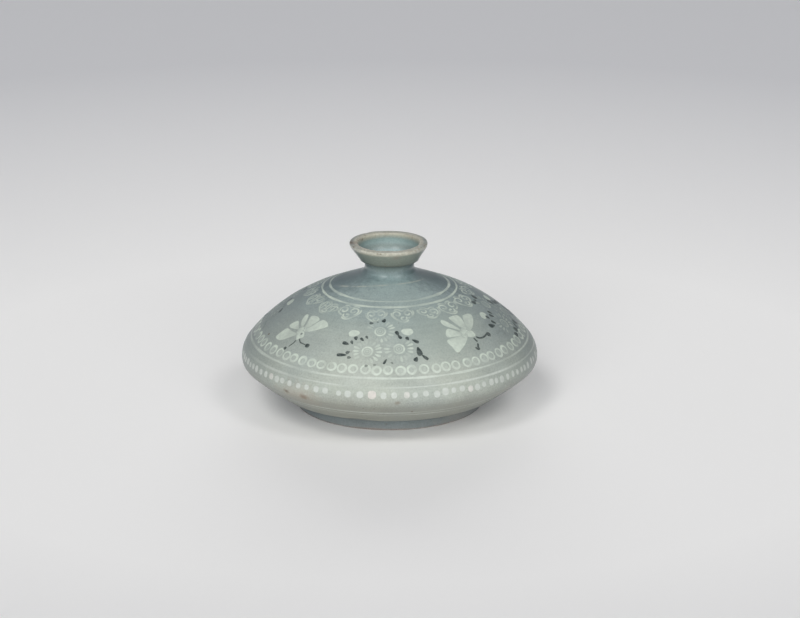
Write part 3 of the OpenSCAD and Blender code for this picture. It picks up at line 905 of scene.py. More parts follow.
# how far in from the lip and under it the outside bends, first slightly and then more
EDGE_IN, EDGE_DOWN = 0.15, 1.1
BEND_IN, BEND_DOWN = 1.2, 2.6
CUP_STEP = 0.3
LEAN = -0.3
# points this far in from a straight outside count as inside, by a soft step
INSIDE_FROM, INSIDE_FADE = 1.0, 0.4
SLOW_WAVER, FAST_WAVER, WAVER_TURN = 0.04, 0.02, 40
# angle, depth and half width of each chip, in degrees and millimetres
CHIPS = [(-84, 0.14, 6), (-33, 0.1, 4), (-21, 0.12, 3), (14, 0.08, 7), (97, 0.1, 6), (216, 0.12, 6)]
cup_outline = eased([
    (passage_r, cup_z),
    (RIDGE_R - RIDGE_IN, cup_z, 0.12),
    (RIDGE_R, cup_z + RIDGE_H, 0.2),
    (lip_r - BEND_IN, lip_z - BEND_DOWN, 1.2),
    (lip_r - EDGE_IN, lip_z - EDGE_DOWN, 0.6),
    (lip_r, lip_z, 0.5),
    (cup_inner_r, lip_z, 0.7),
    *funnel[in_cup].tolist(),
])


def from_angle(angles, middle):
    """How far angles lie from a middle one, between -180 and 180 degrees."""
    return (angles - middle + 180) % 360 - 180


cup_points = turned_points(evened(cup_outline, CUP_STEP))
cup_x, cup_y, cup_height = np.moveaxis(cup_points, -1, 0)
cup_angle = np.degrees(np.arctan2(cup_x, -cup_y))
up_share = (cup_height - cup_z) / (lip_z - cup_z)
outside_r = RIDGE_R + (lip_r - RIDGE_R) * up_share
inside = np.clip((outside_r - INSIDE_FROM - np.hypot(cup_x, cup_y)) / INSIDE_FADE, 0, 1)
waver = SLOW_WAVER * np.cos(np.radians(3 * cup_angle + WAVER_TURN))
waver = waver + FAST_WAVER * np.cos(np.radians(7 * cup_angle))
for chip_angle, chip_depth, chip_width in CHIPS:
    away = from_angle(cup_angle, chip_angle)
    waver = waver - chip_depth * np.exp(-((away / chip_width) ** 2))
# only the upper quarter of the cup wavers, and most of all its edge
cup_points[..., 2] += np.clip(4 * up_share - 3, 0, 1) ** 2 * waver
cup_points[..., 0] += LEAN * up_share
put_turned("turned_cup", cup_points, cup_finish, "mouth_cup", {"inside": inside})

# %% [markdown]
# ## Slip in the wall
# White and black slip fill shallow pockets, flush with the clay, and the glaze runs over both.
# Each filled mark is one ribbon between two curves drawn on the wall, so a ring, a petal and a
# wing are the same shape with other sides. The ribbon lies a hair above the clay, and its sides
# go down into the pocket. A number on each point says how strong the slip shows. It falls to
# nothing at the edge, and the finish uses it to let the glaze run softly over the border.

# %% Slip finishes
# the tone at the girth, the tone higher up, and the tone of a warm mark, of each slip
SLIP_TONES = {
    "white_slip": [(188, 193, 187), (196, 206, 193), (210, 199, 193)],
    "black_slip": [(50, 60, 59), (52, 61, 60), (78, 74, 66)],
}
# how much of each slip is worn off in patches
SLIP_WORN = {"white_slip": 0.3, "black_slip": 0.25}
HIGHER_LOW, HIGHER_HIGH = girth_z + 3, girth_z + 9
SLIP_GRAIN_SIZE, SLIP_GRAIN = 0.9, (0.95, 1.04)
WORN_SIZE, WORN_LOW, WORN_HIGH = 1.1, 0.32, 0.6


def slip_finish(name):
    """The body's glaze over slip that is greyer at the girth, as strong as the points say."""
    girth_tone, higher_tone, warm_tone = (paint(*tone) for tone in SLIP_TONES[name])

    def filled(tree, colour):
        """The glaze's colour with the slip's laid over it."""
        place = place_mm(tree)
        higher = spread(tree, axes(tree, place)["Z"], HIGHER_LOW, HIGHER_HIGH, 0, 1)
        slip = blend(tree, higher, girth_tone, higher_tone)
        slip = blend(tree, marked(tree, "warmth"), slip, warm_tone)
        grain = mottle(tree, noise(tree, place, SLIP_GRAIN_SIZE), *SLIP_GRAIN)
        slip = brighten(tree, slip, grain)
        patches = noise(tree, place, WORN_SIZE)
        left = spread(tree, patches, WORN_LOW, WORN_HIGH, 1 - SLIP_WORN[name], 1)
        return blend(tree, times(tree, marked(tree, "strength"), left), colour, slip)

    return glazed(name, body_look, wear=filled)


slip_finishes = {name: slip_finish(name) for name in SLIP_TONES}
print(f"{len(slip_finishes)} slip finishes ready")

# %% [markdown]
# A mark is drawn flat, with u to the right and v up, and then laid on the wall: v adds to the
# rise, and u turns round the axis by u over the radius there. Drawn outlines are a few
# points with a smooth curve through them.


# %% Places on the wall
def on_wall(azimuth, rise, lift):
    """(r sin a, -r cos a, z) on the wall, lifted along the wall's normal."""
    r, z, turn = wall(rise)
    r = r + lift * np.sin(turn)
    spot = np.stack([r * np.sin(azimuth), -r * np.cos(azimuth), z + lift * np.cos(turn)], -1)
    return thrown(spot)


def laid(azimuth, rise, drawn):
    """Azimuth and rise of drawn points: a = azimuth + u / r(rise + v)."""
    up = rise + drawn[..., 1]
    return np.stack([np.radians(azimuth) + drawn[..., 0] / wall(up)[0], up], -1)


print(f"the wall is {2 * np.pi * wall(0)[0]:.0f} mm round at the girth")

# %% [markdown]
# A ribbon has seven points across: five over the clay and two down in the pocket. A stroke is a
# ribbon of a given width along a path. A patch is a ribbon between the two halves of an outline.
# Where marks cross, one of the two lies a little higher, so that it is clearly on top.

# %% Ribbons, strokes and patches
GLAZE_LIFT, OVER_STEP = 0.035, 0.003
POCKET_DEPTH = 0.35
# width of the soft edge, and the most of a narrow ribbon that it takes up
SOFT_EDGE, SOFT_SHARE = 0.19, 0.32


def ribbon(left, right, strength=1.0, closed=False, warmth=0.0, over=0.0):
    """S(t, w) = left(t) + (right(t) - left(t)) (1 + w) / 2, with sides down into the pocket."""
    across = right - left
    width = np.hypot(across[:, 0] * wall(left[:, 1])[0], across[:, 1])
    inner = 1 - 2 * np.minimum(SOFT_EDGE, SOFT_SHARE * width) / width
    one = np.ones_like(inner)
    w = np.stack([-one, -inner, 0 * one, inner, one, one, -one], -1)
    lift = np.array([GLAZE_LIFT + over] * 5 + [-POCKET_DEPTH] * 2)
    spot = left[:, None] + across[:, None] * (1 + w[..., None]) / 2
    shade = np.array([0, 1, 1, 1, 0, 0, 0]) * (np.zeros(len(left)) + strength)[:, None]
    if not closed:
        shade[[0, -1]] = 0
    return on_wall(spot[..., 0], spot[..., 1], lift), shade, closed, warmth


def stroke(azimuth, rise, path, half_width, strength=1.0, closed=False, over=0.0):
    """A brush stroke: the path plus and minus its half width along its normal."""
    ahead, behind = np.roll(path, -1, 0), np.roll(path, 1, 0)
    if not closed:
        ahead[-1], behind[0] = path[-1], path[0]
    run = (ahead - behind) / np.linalg.norm(ahead - behind, axis=1)[:, None]
    aside = np.stack([-run[:, 1], run[:, 0]], -1) * (np.zeros(len(path)) + half_width)[:, None]
    left, right = laid(azimuth, rise, path + aside), laid(azimuth, rise, path - aside)
    return ribbon(left, right, strength, closed, over=over)


def patch(azimuth, rise, outline, strength=1.0, warmth=0.0, over=0.0):
    """A filled outline with its soft edge added, ruled between its two halves."""
    u, v = outline.T
    if np.sum(u * np.roll(v, -1) - v * np.roll(u, -1)) > 0:
        outline = np.roll(outline[::-1], 1, 0)
    run = np.roll(outline, -1, 0) - np.roll(outline, 1, 0)
    run = run / np.linalg.norm(run, axis=1)[:, None]
    outline = outline + SOFT_EDGE * np.stack([-run[:, 1], run[:, 0]], -1)
    half = len(outline) // 2
    left, right = (laid(azimuth, rise, side) for side in (outline[1:half], outline[:half:-1]))
    return ribbon(left, right, strength, False, warmth, over)


print(f"ribbons lie {GLAZE_LIFT} mm above the clay")

# %% [markdown]
# A node of the frame holds all the marks of its kind, such as every dot of the row, so their
# ribbons are joined into one mesh. The points carry the strength and the warmth of the slip.


# %% Joining marks into a piece
def put_slip(node_name, ribbons, slip):
    """Joins ribbons of white or black slip into one piece, with a cap on each open end."""
    faces, start = [], 0
    for _, shade, closed, _ in ribbons:
        rows, columns = shade.shape
        faces += (grid_faces(rows, columns, closed, True) + start).tolist()
        if not closed:
            faces.append(list(range(start + columns - 1, start - 1, -1)))
            faces.append(list(range(start + (rows - 1) * columns, start + rows * columns)))
        start += rows * columns
    points = np.vstack([item[0].reshape(-1, 3) for item in ribbons])
    marks = {
        "strength": np.concatenate([item[1].ravel() for item in ribbons]),
        "warmth": np.concatenate([np.full(item[1].size, item[3]) for item in ribbons]),
    }
    put("slip_" + node_name, points, faces, slip_finishes[slip], [node_name], marks)


print("slip pieces can be filled in", " and ".join(slip_finishes))

# %% [markdown]
# ## Ring lines
# Six lines run round the bottle. They were cut with the wheel turning, so they are nearly level,
# but the groove was not always filled to the same width. Slow waves with seeded phases make each
# line wander, swell and fade, and two of the lines are worn over one stretch.

# %% Ring lines
LINE_POINTS = 720
LINE_WANDER, LINE_SWELL, LINE_FADE, LINE_FAINTEST = 0.07, 0.22, 0.3, 0.15
SWELL_WAVES, FADE_WAVES = 24, 18
WAVE_HEIGHT = 1.6
dice = np.random.default_rng(11)


def waves(angle, count=9):
    """A slow closed wave between about -1 and 1: a sum of cosines with drawn phases."""
    k = np.arange(2, 2 + count)[:, None]
    phase = dice.uniform(0, 2 * np.pi, (count, 1))
    return (np.cos(k * angle + phase) / np.sqrt(k)).sum(0) / WAVE_HEIGHT


def ring_line(rise, half_width, strength, worn_at=0, worn_reach=1, worn_share=0):
    """The ribbon a, rise + wander, plus and minus its half width, worn round one azimuth."""
    a = whole_turn(LINE_POINTS)
    middle = rise + LINE_WANDER * waves(a)
    half = half_width * (1 + LINE_SWELL * waves(a, SWELL_WAVES))
    shade = np.clip(strength + LINE_FADE * waves(a, FADE_WAVES), LINE_FAINTEST, 1)
    away = from_angle(np.degrees(a), worn_at)
    shade = shade * (1 - worn_share * np.exp(-((away / worn_reach) ** 4)))
    left, right = np.stack([a, middle + half], -1), np.stack([a, middle - half], -1)
    return ribbon(left, right, shade, True)


# rise up the wall, half width and strength, then where, how far and how much a line is worn
RING_LINES = {
    "shoulder_line_inner": (36.4, 0.45, 0.78, 16, 40, 0.6),
    "shoulder_line_outer": (33.8, 0.47, 0.8),
    "girth_line_upper": (7.15, 0.42, 0.65),
    "girth_line_lower": (4.35, 0.35, 0.58, -82, 21, 0.85),
    "foot_line_upper": (-6.6, 0.38, 0.85),
    "foot_line_lower": (-8.4, 0.33, 0.5),
}
for node_name, line in RING_LINES.items():
    put_slip(node_name, [ring_line(*line)], "white_slip")

# %% [markdown]
# ## Dots
# A row of punched dots runs along the girth. A dot is an outline between a circle and a square.
# The potter's hand never hit the same place twice, so size, place and pressure are drawn from
# seeded dice. The row opens a little at the front, where one dot was pressed twice.

# %% Girth dots
DOT_RISE, DOT_COUNT = 2.05, 95
# shares of the pitch and millimetres by which a dot strays, and how the row opens
DOT_STRAY, RISE_STRAY = 0.15, 0.12
DOT_SWAY, DOT_SWAY_TURN = 3.2, 38
# ranges of half width, height to width, squareness and strength
DOT_WIDE, DOT_TALL, DOT_SQUARE, DOT_SHOWS = (0.62, 0.92), (0.95, 1.25), (1.8, 2.6), (0.84, 1)
WARM_CHANCE, WARM = 0.05, 0.3
LARGE_DOT, LARGE_HALF, LARGE_WARM = 93, 1.14, 0.6
# azimuth, reach and share of a stretch where the dots came out narrow
NARROW_AT, NARROW_REACH, NARROW_SHARE = 64, 26, 0.27


def dot(azimuth, rise, wide, tall, square, strength=1.0, warmth=0.0, points=20):
    """Radius 1 / (|cos|^p + |sin|^p)^(1/p) round the outline: p = 2 is round, 4 is squarish."""
    angle = whole_turn(points) + np.pi
    c, s = np.cos(angle), np.sin(angle)
    reach = (np.abs(c) ** square + np.abs(s) ** square) ** (-1 / square)
    outline = np.stack([wide * reach * c, tall * reach * s], -1)
    return patch(azimuth, rise, outline, strength, warmth)


dots = []
for i in range(DOT_COUNT):
    azimuth = (i + dice.uniform(-DOT_STRAY, DOT_STRAY)) * 360 / DOT_COUNT
    azimuth += DOT_SWAY * np.sin(np.radians(3 * azimuth + DOT_SWAY_TURN))
    wide = dice.uniform(*DOT_WIDE)
    tall = wide * dice.uniform(*DOT_TALL)
    wide *= 1 - NARROW_SHARE * np.exp(-(((azimuth - NARROW_AT) / NARROW_REACH) ** 2))
    warmth = WARM if dice.random() < WARM_CHANCE else 0.0
    if i == LARGE_DOT:
        wide, tall, warmth = LARGE_HALF, LARGE_HALF, LARGE_WARM
    rise = DOT_RISE + dice.normal(0, RISE_STRAY)
    square, strength = dice.uniform(*DOT_SQUARE), dice.uniform(*DOT_SHOWS)
    dots.append(dot(azimuth, rise, wide, tall, square, strength, warmth))
put_slip("girth_dots", dots, "white_slip")

# %% [markdown]
# ## Circles
# Above the dots runs a chain of stamped circles. A circle is a closed stroke with a thin wash of
# slip inside. Neighbours may touch, so every second one lies a step higher.

# %% Circle chain
CIRCLE_RISE, CIRCLE_COUNT, CIRCLE_POINTS = 9.8, 73, 30
CIRCLE_STRAY = 0.11
# ranges of radius and half width of the stroke, and how much the stroke thickens to one side
CIRCLE_R, CIRCLE_HALF, CIRCLE_SWELL = (1.13, 1.34), (0.40, 0.48), 0.07
PRESSED, PRESSED_SWAY, PRESSED_LEAST = 0.77, 0.5, 0.1
WASH_IN, WASH_SHOWS, WASH_POINTS = 0.62, (0.1, 0.3), 12
# a drawn phase lies anywhere on the turn
PHASES = (0, 6.3)

circle_angle = whole_turn(CIRCLE_POINTS)
circles = []
for i in range(CIRCLE_COUNT):
    azimuth = (i + dice.uniform(-CIRCLE_STRAY, CIRCLE_STRAY)) * 360 / CIRCLE_COUNT
    wide, tall = dice.uniform(*CIRCLE_R, 2)
    thick = dice.uniform(*CIRCLE_HALF)
    thick = thick + CIRCLE_SWELL * np.cos(circle_angle + dice.uniform(*PHASES))
    sway = PRESSED_SWAY * np.cos(circle_angle + dice.uniform(*PHASES)) * dice.random()
    pressed = np.clip(PRESSED + sway, PRESSED_LEAST, 1)
    path = np.stack([wide * np.cos(circle_angle), tall * np.sin(circle_angle)], -1)
    rise = CIRCLE_RISE + dice.normal(0, RISE_STRAY)
    circles.append(stroke(azimuth, rise, path, thick, pressed, True, OVER_STEP * (i % 2)))
    circles.append(dot(azimuth, rise, wide - WASH_IN, tall - WASH_IN, 2,
                       dice.uniform(*WASH_SHOWS), points=WASH_POINTS))
put_slip("circle_chain", circles, "white_slip")

# %% [markdown]
# ## Cloud collar
# Under the shoulder lines hangs a collar of scrolled clouds. Each has two scrolls side by side
# and a smaller one below, drawn with thin strokes, and outer strokes that run round all three. A
# scroll is a spiral: its radius shrinks as the angle runs on. On three of the clouds the brush
# also went up and down.

# %% Cloud drawing
# middle, outer and inner radius, and the start and sweep of the angle in degrees
SCROLLS = [
    (-1.6, 0.5, 1.65, 0.4, 250, -440),
    (1.7, 0.45, 1.6, 0.4, -60, 430),
    (-0.3, -1.5, 1.15, 0.35, 25, -350),
]
# points along each outer stroke, and the points drawn
OUTER_STROKES = [
    (26, [(-3.4, 1.4), (-3.6, 0.2), (-3.0, -1.1), (-2.0, -2.1), (-1.0, -2.9), (0.4, -2.9), (1.3, -2.1)]),
    (18, [(3.4, 1.4), (3.6, 0.3), (3.1, -0.7), (2.2, -1.4), (1.3, -1.8)]),
    (18, [(-2.5, 2.2), (-1.2, 2.5), (0.0, 1.7), (1.2, 2.4), (2.6, 2.1)]),
]
# how strong the scrolls and then the outer strokes show
CLOUD_SHOWS = [1.0, 1.0, 0.95, 0.9, 0.75, 0.7]
# ranges of lean and turn in degrees, size, faintness and half width of the brush
CLOUD_LEAN, CLOUD_TURN = (-10, 10), (-12, 12)
CLOUD_SIZE, CLOUD_FAINT, CLOUD_HALF = (0.85, 1.08), (0.75, 1.1), (0.33, 0.42)


def spiral(u, v, r_out, r_in, start, sweep, points=26):
    """(u, v) + r(t) (cos, sin)(start + sweep t), with r running from r_out to r_in."""
    t = np.linspace(0, 1, points)
    angle = np.radians(start + sweep * t)
    r = r_out + (r_in - r_out) * t
    return np.stack([u + r * np.cos(angle), v + r * np.sin(angle)], -1)


def rotated(points, degrees):
    """Drawn points turned about the middle of their mark."""
    c, s = np.cos(np.radians(degrees)), np.sin(np.radians(degrees))
    return np.asarray(points, float) @ np.array([[c, s], [-s, c]])


def brush(points, half_width):
    """Half widths along a stroke: full in the middle and pointed at both ends."""
    t = np.linspace(0, 1, points)
    return half_width * np.clip(4.5 * np.sqrt(t * (1 - t)), 0.25, 1)


def cloud(azimuth, rise, side):
    """Three scrolls and outer strokes. side is 1 or -1 for a cloud drawn the other way."""
    lean = dice.uniform(*CLOUD_LEAN)
    paths = [spiral(*scroll, start + lean, sweep) for *scroll, start, sweep in SCROLLS]
    paths += [smooth(points, count) for count, points in OUTER_STROKES]
    marks = []
    scale = dice.uniform(*CLOUD_SIZE, 2) * [side, 1]
    turn, faint = dice.uniform(*CLOUD_TURN), dice.uniform(*CLOUD_FAINT)
    for path, shows in zip(paths, CLOUD_SHOWS):
        along = 7 * np.linspace(0, 1, len(path))
        fade = shows * faint * np.clip(0.85 + 0.5 * np.cos(along + dice.uniform(*PHASES)), 0.3, 1)
        path = rotated(path * scale, turn) + dice.normal(0, 0.1, 2)
        thick = brush(len(path), dice.uniform(*CLOUD_HALF))
        marks.append(stroke(azimuth, rise, path[::side], thick, fade[::side]))
    return marks


print(f"a cloud is {len(CLOUD_SHOWS)} strokes")

# %% [markdown]
# The clouds stand evenly round the wall, and every third is drawn the other way round.

# %% Clouds
CLOUD_RISE, CLOUD_COUNT = 30.2, 18
CLOUD_STRAY, CLOUD_RISE_STRAY = 0.06, 0.2
# which clouds have upright strokes too, then where those stand, their ends, points and half width
HATCHED_CLOUDS, HATCH_AT = (13, 14, 15), (-2.9, -1.9, -0.4, 0.5, 2.3)
HATCH_TOP, HATCH_FOOT, HATCH_LEAN = 1.7, -1.9, 0.3
HATCH_POINTS, HATCH_HALF, HATCH_SHOWS = 12, 0.3, 0.75

clouds = []
for i in range(CLOUD_COUNT):
    azimuth = (i + 0.5 + dice.uniform(-CLOUD_STRAY, CLOUD_STRAY)) * 360 / CLOUD_COUNT
    rise = CLOUD_RISE + dice.normal(0, CLOUD_RISE_STRAY)
    clouds += cloud(azimuth, rise, -1 if i % 3 == 1 else 1)
    if i in HATCHED_CLOUDS:
        thick = brush(HATCH_POINTS, HATCH_HALF)
        for u in HATCH_AT:
            path = smooth([(u, HATCH_TOP), (u - HATCH_LEAN, HATCH_FOOT)], HATCH_POINTS)
            clouds.append(stroke(azimuth, CLOUD_RISE, path, thick, HATCH_SHOWS, over=OVER_STEP))
put_slip("cloud_collar", clouds, "white_slip")

# %% [markdown]
# ## Butterflies
# Four butterflies fly round the wall between the flower sprays. Each has five white wings, cut
# freely, a small body and two black feelers that end in knobs. Wings and body are drawn as
# outlines from root to tip and back, over a patch where the wings meet. Two drawings serve: each
# is used on the front and, turned a little, at the back.

# %% Butterfly drawings
# the patch where the wings meet, five wings and the body
LEFT_WINGS = [
    [(-1.8, 0.6), (-0.9, 1.9), (0.3, 2.1), (0.9, 1.3), (0.2, 0.6), (-0.8, 0.2)],
    [(0.2, 1.0), (2.4, 1.2), (4.0, 2.1), (6.9, 4.5), (6.9, 5.1), (5.5, 6.2), (4.0, 6.6), (3.2, 6.0),
     (1.8, 2.9)],
    [(0.1, 1.7), (-0.3, 3.4), (-1.5, 6.2), (-1.0, 6.8), (0.5, 7.1), (2.0, 6.6), (2.4, 5.8), (1.4, 3.1)],
    [(-1.2, 2.0), (-2.7, 3.0), (-3.7, 4.3), (-4.2, 5.8), (-3.8, 6.3), (-3.2, 6.4), (-2.0, 4.9),
     (-1.1, 2.5)],
    [(-1.7, 0.9), (-3.3, 0.5), (-5.3, 0.2), (-6.4, 0.4), (-6.7, 0.9), (-6.1, 1.9), (-4.7, 3.1),
     (-2.5, 1.4)],
    [(-0.8, -0.8), (-3.1, -0.8), (-5.7, -0.6), (-6.9, -0.8), (-8.3, -3.4), (-8.7, -4.4), (-8.0, -4.9),
     (-6.1, -4.9), (-4.3, -4.0), (-1.3, -1.5)],
    [(-0.8, -0.8), (-1.3, 0.2), (0.0, 0.9), (1.2, 0.5), (1.9, -0.2), (2.2, -1.1), (1.5, -1.6),
     (0.8, -2.5), (0.1, -1.8)],
]
RIGHT_WINGS = [
    [(-1.4, 1.2), (1.0, 2.1), (1.7, 0.9), (1.2, 0.0), (-0.4, -1.2), (-1.6, -1.4), (-2.1, -0.2)],
    [(1.1, 0.7), (2.1, 3.0), (3.5, 5.7), (4.5, 6.0), (6.2, 5.8), (7.2, 5.0), (6.1, 3.2), (4.2, 1.6),
     (2.1, 0.4)],
    [(0.3, 1.7), (-0.7, 3.2), (-1.6, 6.5), (-0.8, 6.9), (0.9, 6.9), (2.1, 6.4), (2.1, 4.2), (0.9, 1.1)],
    [(-1.3, 1.2), (-2.3, 2.1), (-4.9, 4.2), (-5.3, 5.5), (-4.8, 6.4), (-4.0, 6.3), (-2.6, 4.0),
     (-1.5, 2.0)],
    [(-1.8, 0.1), (-2.9, 1.3), (-5.0, 2.8), (-6.5, 1.6), (-7.0, 0.5), (-6.7, -0.1), (-3.8, -0.3),
     (-2.5, -0.4)],
    [(-1.2, -0.7), (-5.3, -0.8), (-8.1, -1.35), (-7.8, -3.7), (-7.6, -5.2), (-7.1, -5.7), (-6.0, -5.2),
     (-2.6, -3.1), (-0.5, -1.1)],
    [(-0.6, -0.3), (0.9, 0.2), (2.2, 0.0), (2.5, -0.8), (2.3, -1.8), (0.8, -1.9), (-1.0, -1.0)],
]
# the strokes of the two feelers, of which the right-hand drawing has one in two strokes
LEFT_FEELERS = [
    [(0.7, -2.7), (0.6, -3.9), (0.1, -4.8), (-0.3, -5.6)],
    [(1.5, -1.9), (2.8, -2.9), (4.0, -3.1), (5.4, -3.2)],
]
RIGHT_FEELERS = [
    [(2.3, -2.2), (2.9, -2.9), (4.1, -3.3), (5.7, -3.2), (7.1, -2.8), (8.1, -2.8), (8.3, -3.4),
     (7.7, -4.1)],
    [(1.2, -2.4), (1.4, -3.5), (1.7, -4.0)],
    [(1.4, -4.5), (0.7, -5.6), (0.4, -6.5), (-0.7, -5.5)],
]
# place, half width, half height and strength of each knob, and last on the left of an eye
LEFT_KNOBS = [
    (-1.2, -6.4, 0.44, 0.44, 0.9),
    (6.1, -3.3, 0.72, 0.6, 1.0),
    (0.8, -0.2, 0.26, 0.24, 0.55),
]
RIGHT_KNOBS = [(7.8, -3.1, 0.74, 0.66, 1.0), (0.2, -6.1, 0.7, 0.48, 1.0)]
# the last value is the half width of the feelers
LEFT_ONE = (LEFT_WINGS, LEFT_FEELERS, LEFT_KNOBS, 0.27)
RIGHT_ONE = (RIGHT_WINGS, RIGHT_FEELERS, RIGHT_KNOBS, 0.4)
print("two drawings of a butterfly")

# %% [markdown]
# A drawing is turned, smoothed and laid on the wall. Slip lay thin at the root of each wing, so
# the strength grows from the root outwards.

# %% Butterflies and feelers
# azimuth, rise, turn of the drawing in degrees and the drawing used
BUTTERFLIES = [
    (44.0, 19.4, 0, RIGHT_ONE),
    (130.0, 18.6, 9, LEFT_ONE),
    (217.0, 18.9, -8, RIGHT_ONE),
    (-51.1, 18.1, 0, LEFT_ONE),
]
WING_POINTS, FEELER_POINTS = 44, 22
WING_SHOWS, FEELER_SHOWS, KNOB_SQUARE = (0.86, 1), 0.95, 2.2
wing_shade = np.clip(np.linspace(0.4, 1.6, WING_POINTS // 2 - 1), 0, 1)


def spot_on(azimuth, rise, drawn):
    """Azimuth in degrees and rise of one drawn point, round which a smaller mark is drawn."""
    angle, up = laid(azimuth, rise, drawn)
    return np.degrees(angle), up


for i, (azimuth, rise, turn, (wings, feelers, knobs, feeler_half)) in enumerate(BUTTERFLIES, 1):
    white, black = [], []
    for wing in wings:
        outline = smooth(rotated(wing, turn), WING_POINTS, True)
        white.append(patch(azimuth, rise, outline, wing_shade * dice.uniform(*WING_SHOWS)))
    for feeler in feelers:
        path = smooth(rotated(feeler, turn), FEELER_POINTS)
        black.append(stroke(azimuth, rise, path, brush(FEELER_POINTS, feeler_half), FEELER_SHOWS))
    for u, v, wide, tall, strength in knobs:
        spot = spot_on(azimuth, rise, rotated([u, v], turn))
        black.append(dot(*spot, wide, tall, KNOB_SQUARE, strength))
    put_slip(f"butterfly_{i}", white, "white_slip")
    put_slip(f"feelers_{i}", black, "black_slip")

# %% [markdown]
# ## Flower sprays
# A spray is three chrysanthemums, two white buds and a scatter of black leaves and tips. A
# flower is a ring with a fainter ring inside and a wheel of short petals. Some petals took hardly
# any slip, so each flower says how strong its petals show.

# %% Flower
# radius, half width and share of strength of the two rings and of the spot, then of the petals
OUTER_RING_R, OUTER_RING_HALF = 1.52, 0.36
INNER_RING_R, INNER_RING_HALF, INNER_SHOWS = 0.82, 0.27, 0.45
HEART_R, HEART_POINTS = 0.26, 12
PETALS, PETAL_POINTS, PETAL_HALF, PETAL_SHOWS = 18, 9, 0.5, 0.8
PETAL_STRAY, PETAL_START, PETAL_END, FAINTEST_PETAL = 0.15, (2.3, 2.5), (4.3, 4.7), 0.03


def flower(azimuth, rise, shows, share):
    """Two rings round a spot, and a wheel of petals from about 2.4 to 4.5 mm from the middle."""
    angle = whole_turn(CIRCLE_POINTS)
    circle = np.stack([np.cos(angle), np.sin(angle)], -1)
    worn = np.clip(0.68 + 0.3 * np.cos(angle + dice.uniform(*PHASES)), 0.25, 1)
    inner = INNER_SHOWS * share
    marks = [
        stroke(azimuth, rise, OUTER_RING_R * circle, OUTER_RING_HALF, share * worn, True),
        stroke(azimuth, rise, INNER_RING_R * circle[::2], INNER_RING_HALF, inner, True),
        dot(azimuth, rise, HEART_R, HEART_R, 2, inner, points=HEART_POINTS),
    ]
    t = np.linspace(0, 1, PETAL_POINTS)
    half = PETAL_HALF * np.clip(np.sin(np.pi * t**1.5), 0.1, 1) ** 0.5
    for k, power in enumerate(np.clip(shows, FAINTEST_PETAL, 1)):
        petal_angle = 2 * np.pi * (k + dice.uniform(-PETAL_STRAY, PETAL_STRAY)) / PETALS
        start, end = dice.uniform(*PETAL_START), dice.uniform(*PETAL_END)
        along = np.array([np.cos(petal_angle), np.sin(petal_angle)])
        path = (start + (end - start) * t)[:, None] * along
        marks.append(stroke(azimuth, rise, path, half, PETAL_SHOWS * share * power))
    return marks


print(f"a flower has {PETALS} petals")

# %% [markdown]
# A bud is a round patch that swells a little to some sides. A leaf is round at its base and drawn
# out at its tip. Its soft edge is added outside the outline, so the outline is drawn smaller.

# %% Bud and leaf
MARK_POINTS = 28
BUD_SHOWS = 0.95
LEAF_SHARE = 0.84


def bud(azimuth, rise, wide, tall, tilt):
    """An ellipse times 1 + 0.08 cos(2a + 1) + 0.06 cos(3a + phase), tilted."""
    angle = whole_turn(MARK_POINTS) + np.pi
    swell = 1 + 0.08 * np.cos(2 * angle + 1) + 0.06 * np.cos(3 * angle + dice.uniform(0, 6))
    outline = np.stack([wide * swell * np.cos(angle), tall * swell * np.sin(angle)], -1)
    return patch(azimuth, rise, rotated(outline, tilt), BUD_SHOWS)


def leaf(azimuth, rise, length, width, tilt, strength, over):
    """Half width 0.88 (1 + x)^0.35 (1 - x)^0.9 along the leaf, with x from -1 to 1."""
    angle = whole_turn(MARK_POINTS) + np.pi
    x = np.cos(angle)
    side = -np.sign(np.sin(angle)) * 0.88 * (1 + x) ** 0.35 * (1 - x) ** 0.9
    outline = LEAF_SHARE * np.stack([x * length / 2, side * width / 2], -1)
    return patch(azimuth, rise, rotated(outline, tilt), strength, over=over)


print("bud and leaf ready")

# %% [markdown]
# The front spray is drawn as the bottle shows it, and the other three repeat it with small
# changes: their marks stray a little, one is drawn the other way round, and two of them have
# fainter flowers, some worn leaves and, on one, larger leaves.

# %% Spray drawing
# place of the heart, and how strong each petal shows in tenths, from the right and round by the top
FLOWERS = [
    (-1.5, 4.35, [5, 9, 10, 5, 2, 1, 1, 4, 4, 1, 1, 1, 1, 3, 8, 5, 3, 8]),
    (-5.1, -3.15, [10, 10, 8, 4, 2, 3, 3, 3, 8, 10, 9, 5, 2, 1, 3, 5, 9, 10]),
    (4.3, -2.05, [10, 10, 6, 1, 1, 1, 1, 1, 3, 8, 7, 4, 2, 1, 6, 3, 3, 7]),
]
# place, half width, half height and tilt of each bud
BUDS = [(-9.4, 3.0, 1.5, 1.2, 24), (6.6, 4.1, 1.6, 1.28, 6)]
